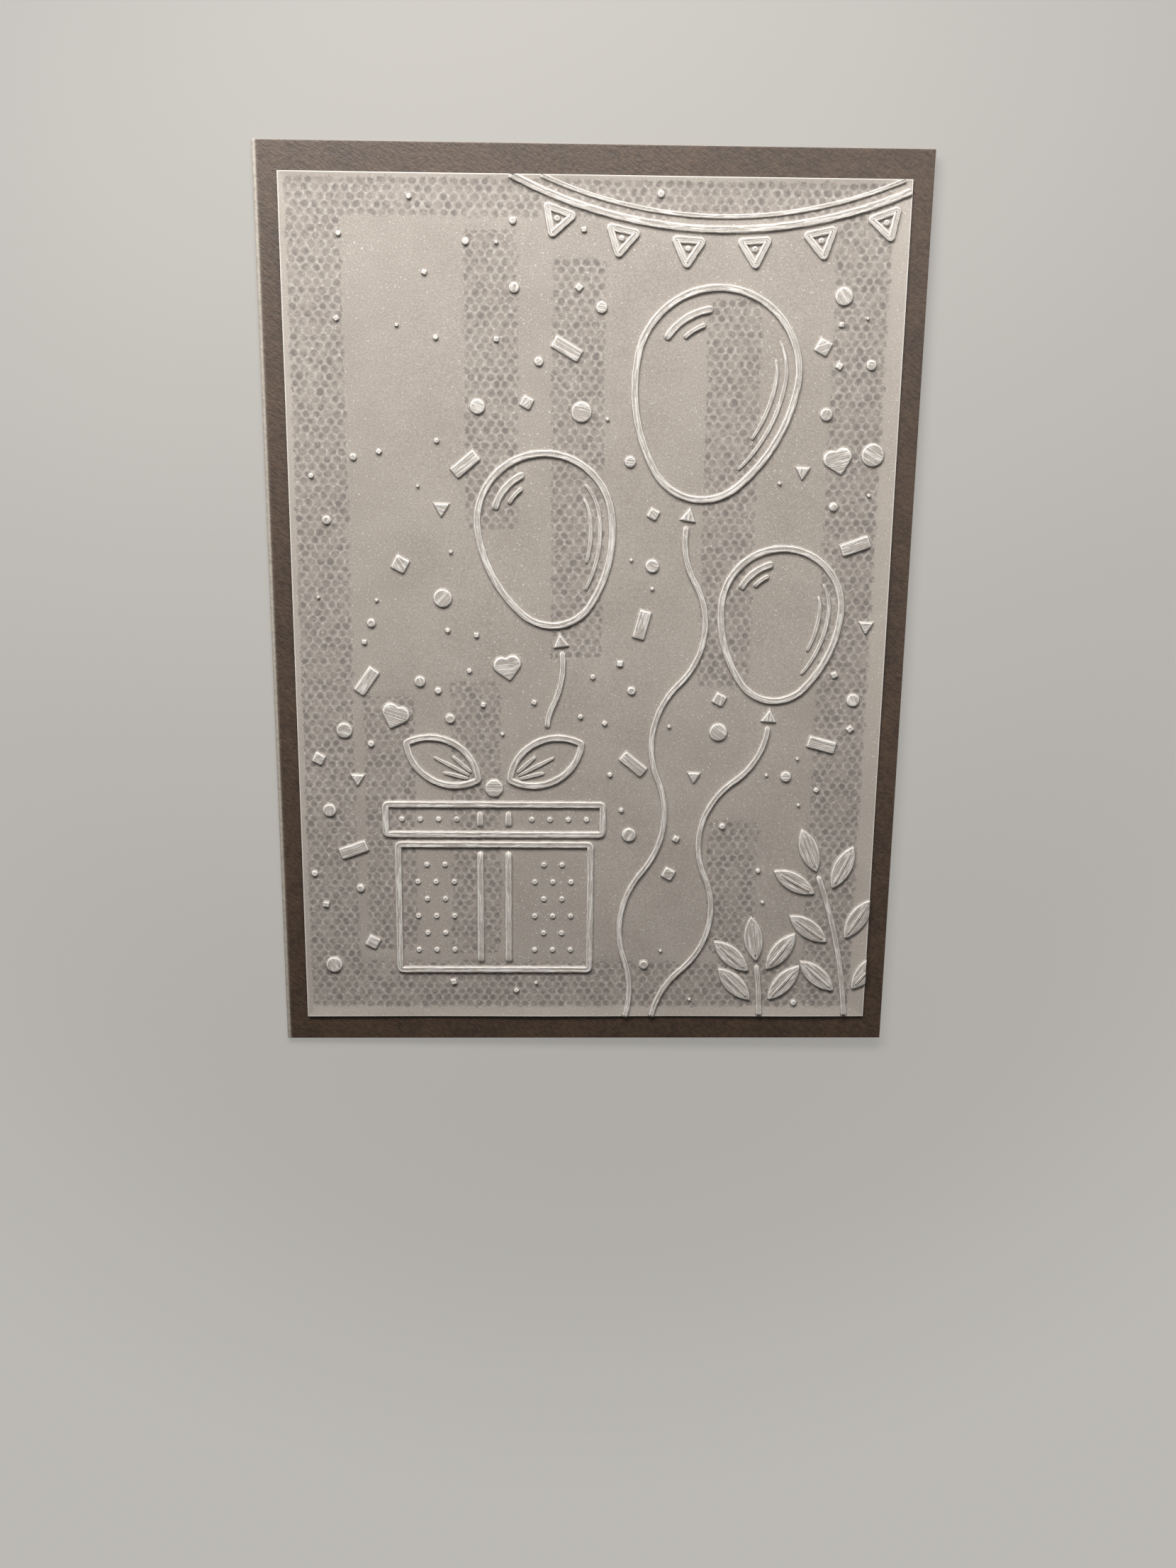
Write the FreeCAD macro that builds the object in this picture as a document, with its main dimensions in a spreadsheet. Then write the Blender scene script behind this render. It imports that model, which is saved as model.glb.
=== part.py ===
# Greeting card: a folded sheet of card stock with an embossed vellum panel glued on its front.
# It lies on its back leaf, front up. +X points from the fold to the open edge, +Y to the top of the
# card, +Z out of its front. The origin is at the bottom centre of the whole card.
import FreeCAD, Part
import math
import os

import Sketcher
from FreeCAD import Placement, Rotation, Vector

UP = Vector(0, 0, 1)

# Straight steps that draw a leaf's side and a heart's lobe, and the length of a line's sloping end
LEAF_STEPS = 4
LOBE_STEPS = 4
END_ARC = 1.0

# Driving dimensions, in millimetres and degrees
SIZES = {
    "card_width": 105.0,
    "card_height": 148.0,
    "stock_thickness": 0.3,
    "fold_gap": 0.2,
    "opening_angle": 0.5,
    "back_leaf_lead": 0.3,
    "panel_width": 97.6,
    "panel_height": 139.2,
    "panel_margin_left": 3.8,
    "panel_margin_bottom": 4.3,
    "vellum_thickness": 0.12,
    "adhesive_thickness": 0.06,
    "adhesive_width": 8.4,
    "adhesive_top_width": 5.6,
    "adhesive_inset_left": 1.0,
    "adhesive_inset_right": 2.7,
    "adhesive_inset_top": 0.7,
    "adhesive_inset_bottom": 1.8,
    "trim_allowance": 20.0,
    "relief_height": 0.55,
    "flank_angle": 22.0,
    "line_width": 1.2,
    "string_width": 1.0,
    "wave_radius": 15.0,
    "balloon_radius": 13.5,
    "middle_balloon_radius": 11.5,
    "small_balloon_radius": 10.5,
    "knot_radius": 1.7,
    "gift_width": 34.0,
    "gift_height": 24.0,
    "lid_overhang": 2.0,
    "lid_height": 6.5,
    "line_gap": 0.6,
    "ribbon_band": 6.0,
    "bow_length": 15.0,
    "bow_width": 8.5,
    "pennant_side": 6.4,
    "swag_radius": 74.0,
    "sprig_radius": 90.0,
    "small_sprig_radius": 80.0,
    "leaf_length": 8.5,
    "leaf_width": 3.4,
    "bar_length": 5.0,
    "bar_width": 2.2,
    "heart_side": 2.9,
}

# Short glue strips inside the frame: the edge strips that each is set off from, sideways and at its
# end, how far it is off each of them, and its length
INNER_STRIPS = {
    "upper_left": ("left", "top", 18.9, 1.9, 46.0),
    "upper_middle": ("left", "top", 32.7, 5.9, 63.0),
    "upper_right": ("right", "top", 11.4, 11.9, 62.0),
    "lower_left": ("left", "bottom", 1.6, 2.1, 45.0),
    "lower_middle": ("left", "bottom", 16.0, 1.6, 48.0),
    "lower_right": ("right", "bottom", 8.9, 1.6, 24.0),
}

# Places of the larger motifs, from the panel's lower left corner. The pattern doesn't stretch with
# the panel, which is cut from a larger pressed blank.
PLACES = {
    "balloon": (68.3, 110.0),
    "middle_balloon": (41.0, 86.3),
    "small_balloon": (80.0, 72.4),
    "gift": (32.7, 20.2),
    "swag": (68.3, 131.5),
    "sprig": (94.2, -1.4),
    "small_sprig": (79.1, -1.4),
}

# Confetti: places from the same corner, then a radius or a turn in degrees
DOTS = [
    (7.8, 51.5, 1.4), (20.5, 59.9, 1.0), (12.7, 69.6, 0.8), (24.4, 73.8, 1.6), (5.9, 86.3, 0.8),
    (30.3, 104.4, 1.3), (40.0, 111.4, 0.8), (46.8, 103.7, 1.7), (49.8, 119.7, 1.0), (36.1, 122.5, 0.9),
    (87.8, 121.8, 1.5), (92.7, 111.4, 0.9), (85.9, 103.7, 1.1), (93.7, 97.4, 1.9), (87.8, 89.1, 0.8),
    (58.6, 79.3, 1.2), (55.6, 58.5, 0.8), (92.7, 57.1, 1.2), (70.3, 51.5, 1.6), (55.6, 33.4, 1.3),
    (58.6, 9.7, 0.9), (82.0, 43.8, 1.0), (4.9, 37.6, 1.2), (9.8, 23.7, 0.8), (4.9, 9.7, 1.5),
    (25.4, 53.6, 0.9), (54.7, 96.0, 1.0),
]
BARS = [
    (11.7, 59.9, 55), (44.4, 113.4, -30), (91.7, 82.8, 20), (57.1, 69.6, 75), (56.1, 45.9, -40),
    (8.8, 30.6, 20), (87.8, 49.4, -15), (28.3, 95.4, 40),
]
DIAMONDS = [
    (17.6, 79.3, 1.8), (38.1, 105.1, 1.4), (84.9, 114.1, 1.7), (58.6, 87.7, 1.3), (70.3, 57.1, 1.5),
    (3.4, 46.6, 1.4), (62.5, 26.4, 1.5), (11.7, 13.9, 1.6),
]
TRIANGLES = [
    (24.4, 88.4, 1.7), (82.5, 94.7, 1.6), (66.4, 43.8, 1.5), (9.8, 43.2, 1.6), (94.2, 69.6, 1.6),
]
HEARTS = [(16.1, 53.6, -20), (88.3, 96.0, 15), (35.1, 61.9, 10)]

doc = FreeCAD.newDocument("greeting_card")
sizes = doc.addObject("Spreadsheet::Sheet", "Sizes")
for row, (alias, value) in enumerate(SIZES.items(), start=1):
    sizes.set(f"A{row}", alias)
    sizes.set(f"B{row}", str(value))
    sizes.setAlias(f"B{row}", alias)
for name, (side, end, *numbers) in INNER_STRIPS.items():
    for what, value in zip(("aside", "off", "length"), numbers):
        row += 1
        sizes.set(f"A{row}", f"{name}_{what}")
        sizes.set(f"B{row}", str(value))
        sizes.setAlias(f"B{row}", f"{name}_{what}")
doc.recompute()


def size(alias):
    """A driving dimension, as the sheet holds it."""
    return float(sizes.get(alias))


def bind(thing, **formulas):
    """Ties properties to the sheet. Two underscores in a name stand for a dot."""
    for prop, formula in formulas.items():
        thing.setExpression(prop.replace("__", "."), formula)


def origin_plane(body, role):
    return next(plane for plane in body.Origin.OriginFeatures if plane.Role == role)


def sketch_on(body, role, name):
    sketch = body.newObject("Sketcher::SketchObject", name)
    sketch.AttachmentSupport = [(origin_plane(body, role), "")]
    sketch.MapMode = "FlatFace"
    return sketch


def constrain(sketch, name, formula, *arguments):
    """Adds one named dimension to a sketch and ties it to the sheet."""
    index = sketch.addConstraint(Sketcher.Constraint(*arguments))
    sketch.renameConstraint(index, name)
    sketch.setExpression(f"Constraints.{name}", formula)


# Formulas that place things on the front leaf
FOLD_RADIUS = "(Sizes.stock_thickness + Sizes.fold_gap / 2)"
FOLD_X = f"({FOLD_RADIUS} - Sizes.card_width / 2)"
AXIS_Z = FOLD_RADIUS
TILT = "Sizes.opening_angle"


def lay_on_leaf(thing, across, along, lift):
    """Puts a thing on the front leaf: its frame is turned about the fold by the opening angle."""
    thing.Placement = Placement(Vector(), Rotation(Vector(0, -1, 0), size("opening_angle")))
    rise = f"({FOLD_RADIUS} + {lift})"
    bind(
        thing,
        Placement__Base__x=f"{FOLD_X} + ({across}) * cos({TILT} * 1 deg) - {rise} * sin({TILT} * 1 deg)",
        Placement__Base__y=along,
        Placement__Base__z=f"{AXIS_Z} + ({across}) * sin({TILT} * 1 deg) + {rise} * cos({TILT} * 1 deg)",
        Placement__Rotation__Angle=f"{TILT} * 1 deg",
    )


# Distances on the leaf, from the fold's axis and from mid height
PANEL_LEFT = f"(Sizes.panel_margin_left - {FOLD_RADIUS})"
PANEL_FOOT = "(Sizes.panel_margin_bottom - Sizes.card_height / 2)"


def line(start, end):
    return Part.LineSegment(start, end)


def arc(centre, radius, start, end):
    """The arc that runs anticlockwise from one angle to the other."""
    return Part.ArcOfCircle(Part.Circle(centre, UP, radius), start, end)


def toward(angle, reach=1.0):
    return Vector(math.cos(angle), math.sin(angle), 0) * reach


def card_base():
    """One sheet folded at the left: back leaf flat, round fold, front leaf sprung open a little."""
    body = doc.addObject("PartDesign::Body", "card_base")
    body.Label = "card_base"
    sheet, gap = size("stock_thickness"), size("fold_gap")
    tilt = math.radians(size("opening_angle"))
    inner, outer = gap / 2, gap / 2 + sheet
    reach = size("card_width") - outer
    centre = Vector(0, outer, 0)
    along, out = toward(tilt), toward(tilt + math.pi / 2)
    front = reach - size("back_leaf_lead")
    profile = sketch_on(body, "XZ_Plane", "folded_sheet")
    profile.addGeometry(
        [
            line(Vector(0, 0, 0), Vector(reach, 0, 0)),
            line(Vector(reach, 0, 0), Vector(reach, sheet, 0)),
            line(Vector(reach, sheet, 0), Vector(0, sheet, 0)),
            arc(centre, inner, tilt + math.pi / 2, 1.5 * math.pi),
            line(centre + out * inner, centre + out * inner + along * front),
            line(centre + out * inner + along * front, centre + out * outer + along * front),
            line(centre + out * outer + along * front, centre + out * outer),
            arc(centre, outer, tilt + math.pi / 2, 1.5 * math.pi),
        ],
        False,
    )
    back_under, back_edge, back_over, bend_in, front_under, front_edge, front_over, bend_out = range(8)
    start, end, middle = 1, 2, 3
    for joint in (
        ("Coincident", back_under, start, -1, start),
        ("Horizontal", back_under),
        ("Coincident", back_under, end, back_edge, start),
        ("Vertical", back_edge),
        ("Coincident", back_edge, end, back_over, start),
        ("Horizontal", back_over),
        ("Tangent", bend_in, end, back_over, end),
        ("Tangent", bend_in, start, front_under, start),
        ("Coincident", front_under, end, front_edge, start),
        ("Perpendicular", front_under, front_edge),
        ("Coincident", front_edge, end, front_over, start),
        ("Tangent", bend_out, start, front_over, end),
        ("Tangent", bend_out, end, back_under, start),
        ("Coincident", bend_in, middle, bend_out, middle),
    ):
        profile.addConstraint(Sketcher.Constraint(*joint))
    constrain(profile, "sheet", "Sizes.stock_thickness", "Distance", back_edge, sheet)
    constrain(profile, "bend", "Sizes.fold_gap / 2", "Radius", bend_in, inner)
    leaf = f"Sizes.card_width - {FOLD_RADIUS}"
    constrain(profile, "back_leaf", leaf, "Distance", back_under, reach)
    constrain(profile, "front_leaf", f"{leaf} - Sizes.back_leaf_lead", "Distance", front_over, front)
    constrain(profile, "opening", f"{TILT} * 1 deg", "Angle", back_under, front_under, tilt)
    pad = body.newObject("PartDesign::Pad", "card_height")
    pad.Profile = profile
    pad.SideType = "Symmetric"
    bind(pad, Length="Sizes.card_height")
    bind(body, Placement__Base__x=FOLD_X)
    return body


def adhesive_strip(name, left, foot, width, length):
    """A film of glue, placed from the panel's lower left corner."""
    strip = doc.addObject("Part::Box", f"adhesive_{name}")
    strip.Label = f"adhesive_{name}"
    bind(strip, Length=width, Width=length, Height="Sizes.adhesive_thickness")
    lay_on_leaf(strip, f"{PANEL_LEFT} + {left}", f"{PANEL_FOOT} + {foot}", "0")
    return strip


def adhesive_strips():
    """Four strips round the panel's edge and six short ones between them."""
    side_length = "(Sizes.panel_height - Sizes.adhesive_inset_top - Sizes.adhesive_inset_bottom)"
    right = "(Sizes.panel_width - Sizes.adhesive_inset_right - Sizes.adhesive_width)"
    between = "(Sizes.adhesive_inset_left + Sizes.adhesive_width)"
    span = f"({right} - {between})"
    top = "(Sizes.panel_height - Sizes.adhesive_inset_top - Sizes.adhesive_top_width)"
    foot = "Sizes.adhesive_inset_bottom"
    strips = [
        adhesive_strip("left", "Sizes.adhesive_inset_left", foot, "Sizes.adhesive_width", side_length),
        adhesive_strip("right", right, foot, "Sizes.adhesive_width", side_length),
        adhesive_strip("top", between, top, span, "Sizes.adhesive_top_width"),
        adhesive_strip("bottom", between, foot, span, "Sizes.adhesive_width"),
    ]
    for name, (side, end, *_) in INNER_STRIPS.items():
        aside, off, length = (f"Sizes.{name}_{what}" for what in ("aside", "off", "length"))
        left = f"{between} + {aside}" if side == "left" else f"{right} - {aside} - Sizes.adhesive_width"
        start = f"{top} - {off} - {length}" if end == "top" else f"{foot} + Sizes.adhesive_width + {off}"
        strips.append(adhesive_strip(name, left, start, "Sizes.adhesive_width", length))
    return strips


# Forms pressed into the vellum. A form is a list of loops: its outline, and for a drawn line that
# closes on itself the loop inside it. inset draws the form that much smaller all round.
def place(name):
    return Vector(*PLACES[name], 0)


def polygon(corners):
    return [line(corner, corners[(i + 1) % len(corners)]) for i, corner in enumerate(corners)]


def regular(centre, radius, sides, turn, inset):
    """A regular polygon with a corner at the angle turn."""
    reach = radius - inset / math.cos(math.pi / sides)
    return polygon([centre + toward(turn + 2 * math.pi * i / sides, reach) for i in range(sides)])


def bar(centre, length, width, turn, inset):
    """A rectangle whose length points at the angle turn."""
    along, across = toward(turn, length / 2 - inset), toward(turn + math.pi / 2, width / 2 - inset)
    corners = [along + across, across - along, Vector() - along - across, along - across]
    return polygon([centre + corner for corner in corners])


def drawn(loop, inset):
    """A closed line: loop is a function of the inset, and the line runs just inside it."""
    return [loop(inset), loop(size("line_width") - inset)]


def frame(centre, width, height, inset):
    """A rectangle drawn as a line."""
    return drawn(lambda depth: bar(centre, width, height, 0, depth), inset)


def split_ends(bends):
    """The same chain with a short arc of its own at each end, where the line's end slopes."""
    (first_radius, first_turn), (last_radius, last_turn) = bends[0], bends[-1]
    start = math.copysign(math.degrees(END_ARC / first_radius), first_turn)
    finish = math.copysign(math.degrees(END_ARC / last_radius), last_turn)
    turns = [turn for radius, turn in bends]
    turns[0] -= start
    turns[-1] -= finish
    chain = [(radius, turn) for (radius, old), turn in zip(bends, turns)]
    return [(first_radius, start)] + chain + [(last_radius, finish)]


def ribbon(start, heading, bends, width, inset):
    """A line along a chain of arcs. bends are a radius and a turn in degrees, plus to the left."""
    half = width / 2 - inset
    loop, ends = [], []
    bends = split_ends(bends)
    point, last = start, len(bends) - 1
    for number, (radius, degrees) in enumerate(bends):
        turn = math.radians(degrees)
        side = math.copysign(1, turn)
        first = heading - side * math.pi / 2
        centre = point - toward(first, radius)
        trim = side * inset / radius
        begin = first + (trim if number == 0 else 0)
        finish = first + turn - (trim if number == last else 0)
        for reach in (radius - half, radius + half):
            loop.append(arc(centre, reach, min(begin, finish), max(begin, finish)))
        if number == 0:
            ends.append((centre, begin, radius))
        if number == last:
            ends.append((centre, finish, radius))
        point = centre + toward(first + turn, radius)
        heading += turn
    for centre, angle, radius in ends:
        loop.append(line(centre + toward(angle, radius - half), centre + toward(angle, radius + half)))
    return loop


def arc_points(centre, radius, start, end, steps):
    """Points along an arc, with both ends."""
    return [centre + toward(start + (end - start) * i / steps, radius) for i in range(steps + 1)]


def leaf(base, heading, length, width, inset):
    """Two equal arcs that meet at both ends, each drawn in straight steps."""
    bulge = width / 2
    radius = (length ** 2 / 4 + bulge ** 2) / (2 * bulge)
    middle = base + toward(heading, length / 2)
    half = math.sqrt((radius - inset) ** 2 - (radius - bulge) ** 2)
    spread = math.atan2(half, radius - bulge)
    corners = []
    for side in (heading + math.pi / 2, heading - math.pi / 2):
        centre = middle - toward(side, radius - bulge)
        corners += arc_points(centre, radius - inset, side - spread, side + spread, LEAF_STEPS)[:-1]
    return polygon(corners)


# A balloon is an egg of four tangent arcs: a half circle on top, flanks of twice its radius that
# turn through this angle, and a round foot
FLANK_TURN = math.radians(40)
FOOT_SHARE = (2 * math.cos(FLANK_TURN) - 1) / math.cos(FLANK_TURN)


def balloon_loop(centre, radius, turn, inset):
    foot_centre = centre + toward(turn - math.pi / 2, (2 - FOOT_SHARE) * radius * math.sin(FLANK_TURN))
    side = toward(turn, radius)
    return [
        arc(centre, radius - inset, turn, turn + math.pi),
        arc(centre + side, 2 * radius - inset, turn + math.pi, turn + math.pi + FLANK_TURN),
        arc(foot_centre, FOOT_SHARE * radius - inset, turn + math.pi + FLANK_TURN,
            turn + 2 * math.pi - FLANK_TURN),
        arc(centre - side, 2 * radius - inset, turn - FLANK_TURN, turn),
    ]


def balloon(centre, radius, degrees, string, inset):
    """A balloon's outline, the gleam inside it, its knot and its string."""
    thick, gap, knot = size("line_width"), size("line_gap"), size("knot_radius")
    turn = math.radians(degrees)
    down = turn - math.pi / 2
    foot = centre + toward(down, radius * ((2 - FOOT_SHARE) * math.sin(FLANK_TURN) + FOOT_SHARE))
    knot_centre = foot + toward(down, gap + knot)
    string_start = knot_centre + toward(down, knot / 2 + gap)
    gleam = radius * 0.72
    gleam_start = centre + toward(turn + math.radians(105), gleam)
    return [
        drawn(lambda depth: balloon_loop(centre, radius, turn, depth), inset),
        [ribbon(gleam_start, turn + math.radians(195), [(gleam, 55)], thick, inset)],
        [regular(knot_centre, knot, 3, turn + math.pi / 2, inset)],
        [ribbon(string_start, down, string, size("string_width"), inset)],
    ]


def wave(*bends):
    """A string's bends: each radius is a share of the usual one, and each turn is in degrees."""
    return [(share * size("wave_radius"), turn) for share, turn in bends]


def balloons(inset):
    """Three balloons whose strings hang in slow waves."""
    long_wave = wave((0.93, 40), (0.93, -75), (1.0, 68), (1.07, -62), (1.13, 58), (1.2, -50))
    short_wave = wave((1.07, -34), (0.6, 26))
    drop_wave = wave((0.87, -50), (0.93, 78), (1.0, -72), (1.07, 50))
    return (
        balloon(place("balloon"), size("balloon_radius"), -10, long_wave, inset)
        + balloon(place("middle_balloon"), size("middle_balloon_radius"), 8, short_wave, inset)
        + balloon(place("small_balloon"), size("small_balloon_radius"), -4, drop_wave, inset)
    )


def gift(inset):
    """A wrapped box with a lid, a ribbon band and a bow of two loops."""
    width, height, lid = size("gift_width"), size("gift_height"), size("lid_height")
    gap, thick, band, knot = size("line_gap"), size("line_width"), size("ribbon_band"), size("knot_radius")
    middle = place("gift")
    lid_middle = middle + Vector(0, (height + lid) / 2 + gap, 0)
    bow_root = lid_middle + Vector(0, lid / 2 + gap + knot, 0)
    forms = [
        frame(middle, width, height, inset),
        frame(lid_middle, width + 2 * size("lid_overhang"), lid, inset),
        [regular(bow_root, knot, 8, math.pi / 8, inset)],
    ]
    for centre, tall in ((middle, height), (lid_middle, lid)):
        for side in (-1, 1):
            edge = centre + Vector(side * (band - thick) / 2, 0, 0)
            forms.append([bar(edge, tall - 2 * (thick + gap), thick, math.pi / 2, inset)])
    for heading in (math.radians(28), math.radians(152)):
        root = bow_root + toward(heading, knot + gap)
        loop = lambda depth: leaf(root, heading, size("bow_length"), size("bow_width"), depth)
        forms.append(drawn(loop, inset))
    return forms


def bunting(inset):
    """A sagging line across the top corner with six pennants hung below it."""
    radius, thick, side = size("swag_radius"), size("line_width"), size("pennant_side")
    centre = place("swag") + Vector(0, radius, 0)
    half_turn = math.radians(29)
    start = centre + toward(-math.pi / 2 - half_turn, radius)
    forms = [[ribbon(start, -half_turn, [(radius, 2 * math.degrees(half_turn))], thick, inset)]]
    hang = radius + thick / 2 + size("line_gap") + side / (2 * math.sqrt(3))
    for step in (-2.5, -1.5, -0.5, 0.5, 1.5, 2.5):
        angle = -math.pi / 2 + step * (side + 3 * thick) / radius
        pennant = lambda depth: regular(centre + toward(angle, hang), side / math.sqrt(3), 3, angle, depth)
        forms.append(drawn(pennant, inset))
    return forms


def sprig(root, heading_degrees, bend, pairs, inset):
    """A bent stem with pairs of leaves that point forwards and one at its tip."""
    radius, degrees = bend
    heading, turn = math.radians(heading_degrees), math.radians(degrees)
    stem, gap, lean = size("string_width"), size("line_gap"), math.radians(42)
    first = heading - math.copysign(math.pi / 2, turn)
    centre = root - toward(first, radius)
    forms = [[ribbon(root, heading, [bend], stem, inset)]]
    leaves = [((pair + 0.5) / pairs, side * lean, (stem / 2 + gap) / math.sin(lean) + gap)
              for pair in range(pairs) for side in (-1, 1)]
    for share, aside, start in leaves + [(1, 0, gap)]:
        joint = centre + toward(first + turn * share, radius)
        way = heading + turn * share + aside
        base = joint + toward(way, start)
        forms.append([leaf(base, way, size("leaf_length"), size("leaf_width"), inset)])
    return forms


def sprigs(inset):
    """Two leafy sprigs that rise from the lower right corner."""
    return (
        sprig(place("sprig"), 93, (size("sprig_radius"), 18), 3, inset)
        + sprig(place("small_sprig"), 90, (size("small_sprig_radius"), 8), 2, inset)
    )


def heart(centre, turn, inset):
    """A square on its corner with a half circle on each upper side, drawn in straight steps."""
    side = size("heart_side")
    lobe = side / 2 - inset
    offset = side / (2 * math.sqrt(2))
    meet = math.acos(-offset / lobe)
    up = toward(turn + math.pi / 2, offset)
    right, left = centre + up + toward(turn, offset), centre + up - toward(turn, offset)
    tip = centre - toward(turn + math.pi / 2, (side - 2 * inset) / math.sqrt(2))
    corners = arc_points(right, lobe, turn - math.pi / 4, turn + meet, LOBE_STEPS)
    corners += arc_points(left, lobe, turn + math.pi - meet, turn + 1.25 * math.pi, LOBE_STEPS)[1:]
    return polygon(corners + [tip])


def confetti(inset):
    """Scattered dots, bars, diamonds, triangles and hearts."""
    length, width = size("bar_length"), size("bar_width")
    return (
        [[regular(Vector(x, y, 0), radius, 8, math.pi / 8, inset)] for x, y, radius in DOTS]
        + [[bar(Vector(x, y, 0), length, width, math.radians(turn), inset)] for x, y, turn in BARS]
        + [[regular(Vector(x, y, 0), radius, 4, 0.3, inset)] for x, y, radius in DIAMONDS]
        + [[regular(Vector(x, y, 0), radius, 3, 0.5, inset)] for x, y, radius in TRIANGLES]
        + [[heart(Vector(x, y, 0), math.radians(turn), inset)] for x, y, turn in HEARTS]
    )


def all_loops(inset, height):
    """Every loop of every form as edges at one height, in the same order whatever the inset."""
    forms = balloons(inset) + gift(inset) + bunting(inset) + sprigs(inset) + confetti(inset)
    lifted = []
    for loop in (loop for form in forms for loop in form):
        edges = [curve.toShape() for curve in loop]
        for edge in edges:
            edge.translate(Vector(0, 0, height))
        lifted.append(edges)
    return lifted


def closed_wires(loops):
    return [Part.Wire(Part.sortEdges(edges)[0]) for edges in loops]


def pressed_skin(blank, inset, low, high, run):
    """One face of the pressed sheet: flat round the forms, sloping flanks, flat tops."""
    foot, crest = all_loops(inset, low), all_loops(inset + run, high)
    flat = Part.makeFace(Part.makeCompound([blank] + closed_wires(foot)), "Part::FaceMakerBullseye")
    tops = Part.makeFace(Part.makeCompound(closed_wires(crest)), "Part::FaceMakerBullseye")
    pairs = zip(sum(foot, []), sum(crest, []))
    flanks = [Part.makeLoft([Part.Wire(below), Part.Wire(above)], False, True) for below, above in pairs]
    return flat.Faces + tops.Faces + [flank.Faces[0] for flank in flanks]


def vellum_panel():
    """A thin sheet pressed into hollow relief as a larger blank, then trimmed to size."""
    thick, relief = size("vellum_thickness"), size("relief_height")
    run = relief * math.tan(math.radians(size("flank_angle")))
    width, height, spare = size("panel_width"), size("panel_height"), size("trim_allowance")
    low_corner, high_corner = Vector(-spare, -spare, 0), Vector(width + spare, height + spare, thick)
    blank = Part.makeBox(*(high_corner - low_corner), low_corner)
    under, over = (
        next(face for face in blank.Faces if abs(face.CenterOfMass.z - z) < thick / 4).OuterWire
        for z in (0, thick)
    )
    rim = [face for face in blank.Faces if abs(face.normalAt(0, 0).z) < 0.5]
    skins = pressed_skin(under, thick, 0, relief, run) + pressed_skin(over, 0, thick, thick + relief, run)
    shell = Part.makeShell(skins + rim)
    shell.sewShape()
    pressed = Part.makeSolid(Part.Shell(shell.Faces))
    trimmed = pressed.common(Part.makeBox(width, height, 2 * (thick + relief), Vector(0, 0, -relief)))
    panel = doc.addObject("Part::Feature", "vellum_panel")
    panel.Label = "vellum_panel"
    panel.Shape = trimmed.Solids[0]
    lay_on_leaf(panel, PANEL_LEFT, PANEL_FOOT, "Sizes.adhesive_thickness")
    return panel


parts = [card_base(), vellum_panel()] + adhesive_strips()
doc.recompute()

for thing in doc.Objects:
    if any(state in ("Invalid", "Error") for state in thing.State):
        raise RuntimeError(f"{thing.Name} failed: {thing.State}")
for part in parts:
    if part.Shape.isNull() or not part.Shape.isValid() or len(part.Shape.Solids) != 1:
        raise RuntimeError(f"{part.Label} isn't one sound solid")

os.makedirs("parts", exist_ok=True)
for part in parts:
    part.Shape.exportStep(f"parts/{part.Label}.step")
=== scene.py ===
import math

import bpy
import numpy as np
from mathutils import Euler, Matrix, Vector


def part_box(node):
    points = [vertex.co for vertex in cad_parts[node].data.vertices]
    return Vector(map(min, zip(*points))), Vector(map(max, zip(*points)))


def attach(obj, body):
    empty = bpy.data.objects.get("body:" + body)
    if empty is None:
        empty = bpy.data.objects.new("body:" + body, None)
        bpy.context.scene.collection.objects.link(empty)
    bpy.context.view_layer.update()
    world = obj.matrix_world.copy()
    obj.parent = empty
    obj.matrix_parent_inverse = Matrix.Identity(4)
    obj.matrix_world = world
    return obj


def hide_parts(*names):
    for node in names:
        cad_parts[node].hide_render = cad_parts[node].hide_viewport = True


# Greeting card: a folded sheet of dark felted card stock, and on its front a sheet of translucent
# vellum that was pressed into hollow relief and stuck down with strips of dotted glue. Lengths are
# in millimetres until a mesh is made. Places on the panel are measured from its lower left corner.
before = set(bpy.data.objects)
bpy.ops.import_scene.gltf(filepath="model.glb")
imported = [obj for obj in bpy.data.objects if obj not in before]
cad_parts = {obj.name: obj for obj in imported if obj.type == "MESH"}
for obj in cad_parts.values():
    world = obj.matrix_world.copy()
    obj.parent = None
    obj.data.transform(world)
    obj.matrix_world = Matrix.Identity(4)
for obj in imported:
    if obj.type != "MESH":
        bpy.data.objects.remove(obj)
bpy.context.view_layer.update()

MM = 0.001

# The folded sheet
STOCK = 0.3
FOLD_GAP = 0.2
OPENING = math.radians(0.5)
BACK_LEAF_LEAD = 0.3

# The pressed sheet
VELLUM = 0.12
RELIEF = 0.45
LINE = 1.2
STRING = 1.0
FINE_LINE = 0.7
FINE_RELIEF = 0.3
LINE_GAP = 0.6
STEP = 0.35


def mm_box(node):
    """A node's lowest and highest corners in millimetres."""
    return (np.array(corner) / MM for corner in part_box(node))


panel_low, panel_high = mm_box("vellum_panel")
PANEL_WIDTH = (panel_high[0] - panel_low[0]) / math.cos(OPENING)
PANEL_HEIGHT = panel_high[1] - panel_low[1]
card_low, card_high = mm_box("card_base")


def laid(across, along, lift):
    """Points on the front leaf: the panel's corner, plus across in the leaf's sloping direction, along
    in Y, and lift along the leaf's normal. Gives metres."""
    x = panel_low[0] + across * math.cos(OPENING) - lift * math.sin(OPENING)
    z = panel_low[2] + across * math.sin(OPENING) + lift * math.cos(OPENING)
    y = panel_low[1] + along + 0 * x
    return np.stack([x, y, z + 0 * x], axis=-1) * MM


def smooth_step(value, low, high):
    """0 below low, 1 above high, and the cubic 3t^2 - 2t^3 between them."""
    share = np.clip((value - low) / (high - low), 0, 1)
    return share * share * (3 - 2 * share)


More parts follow.
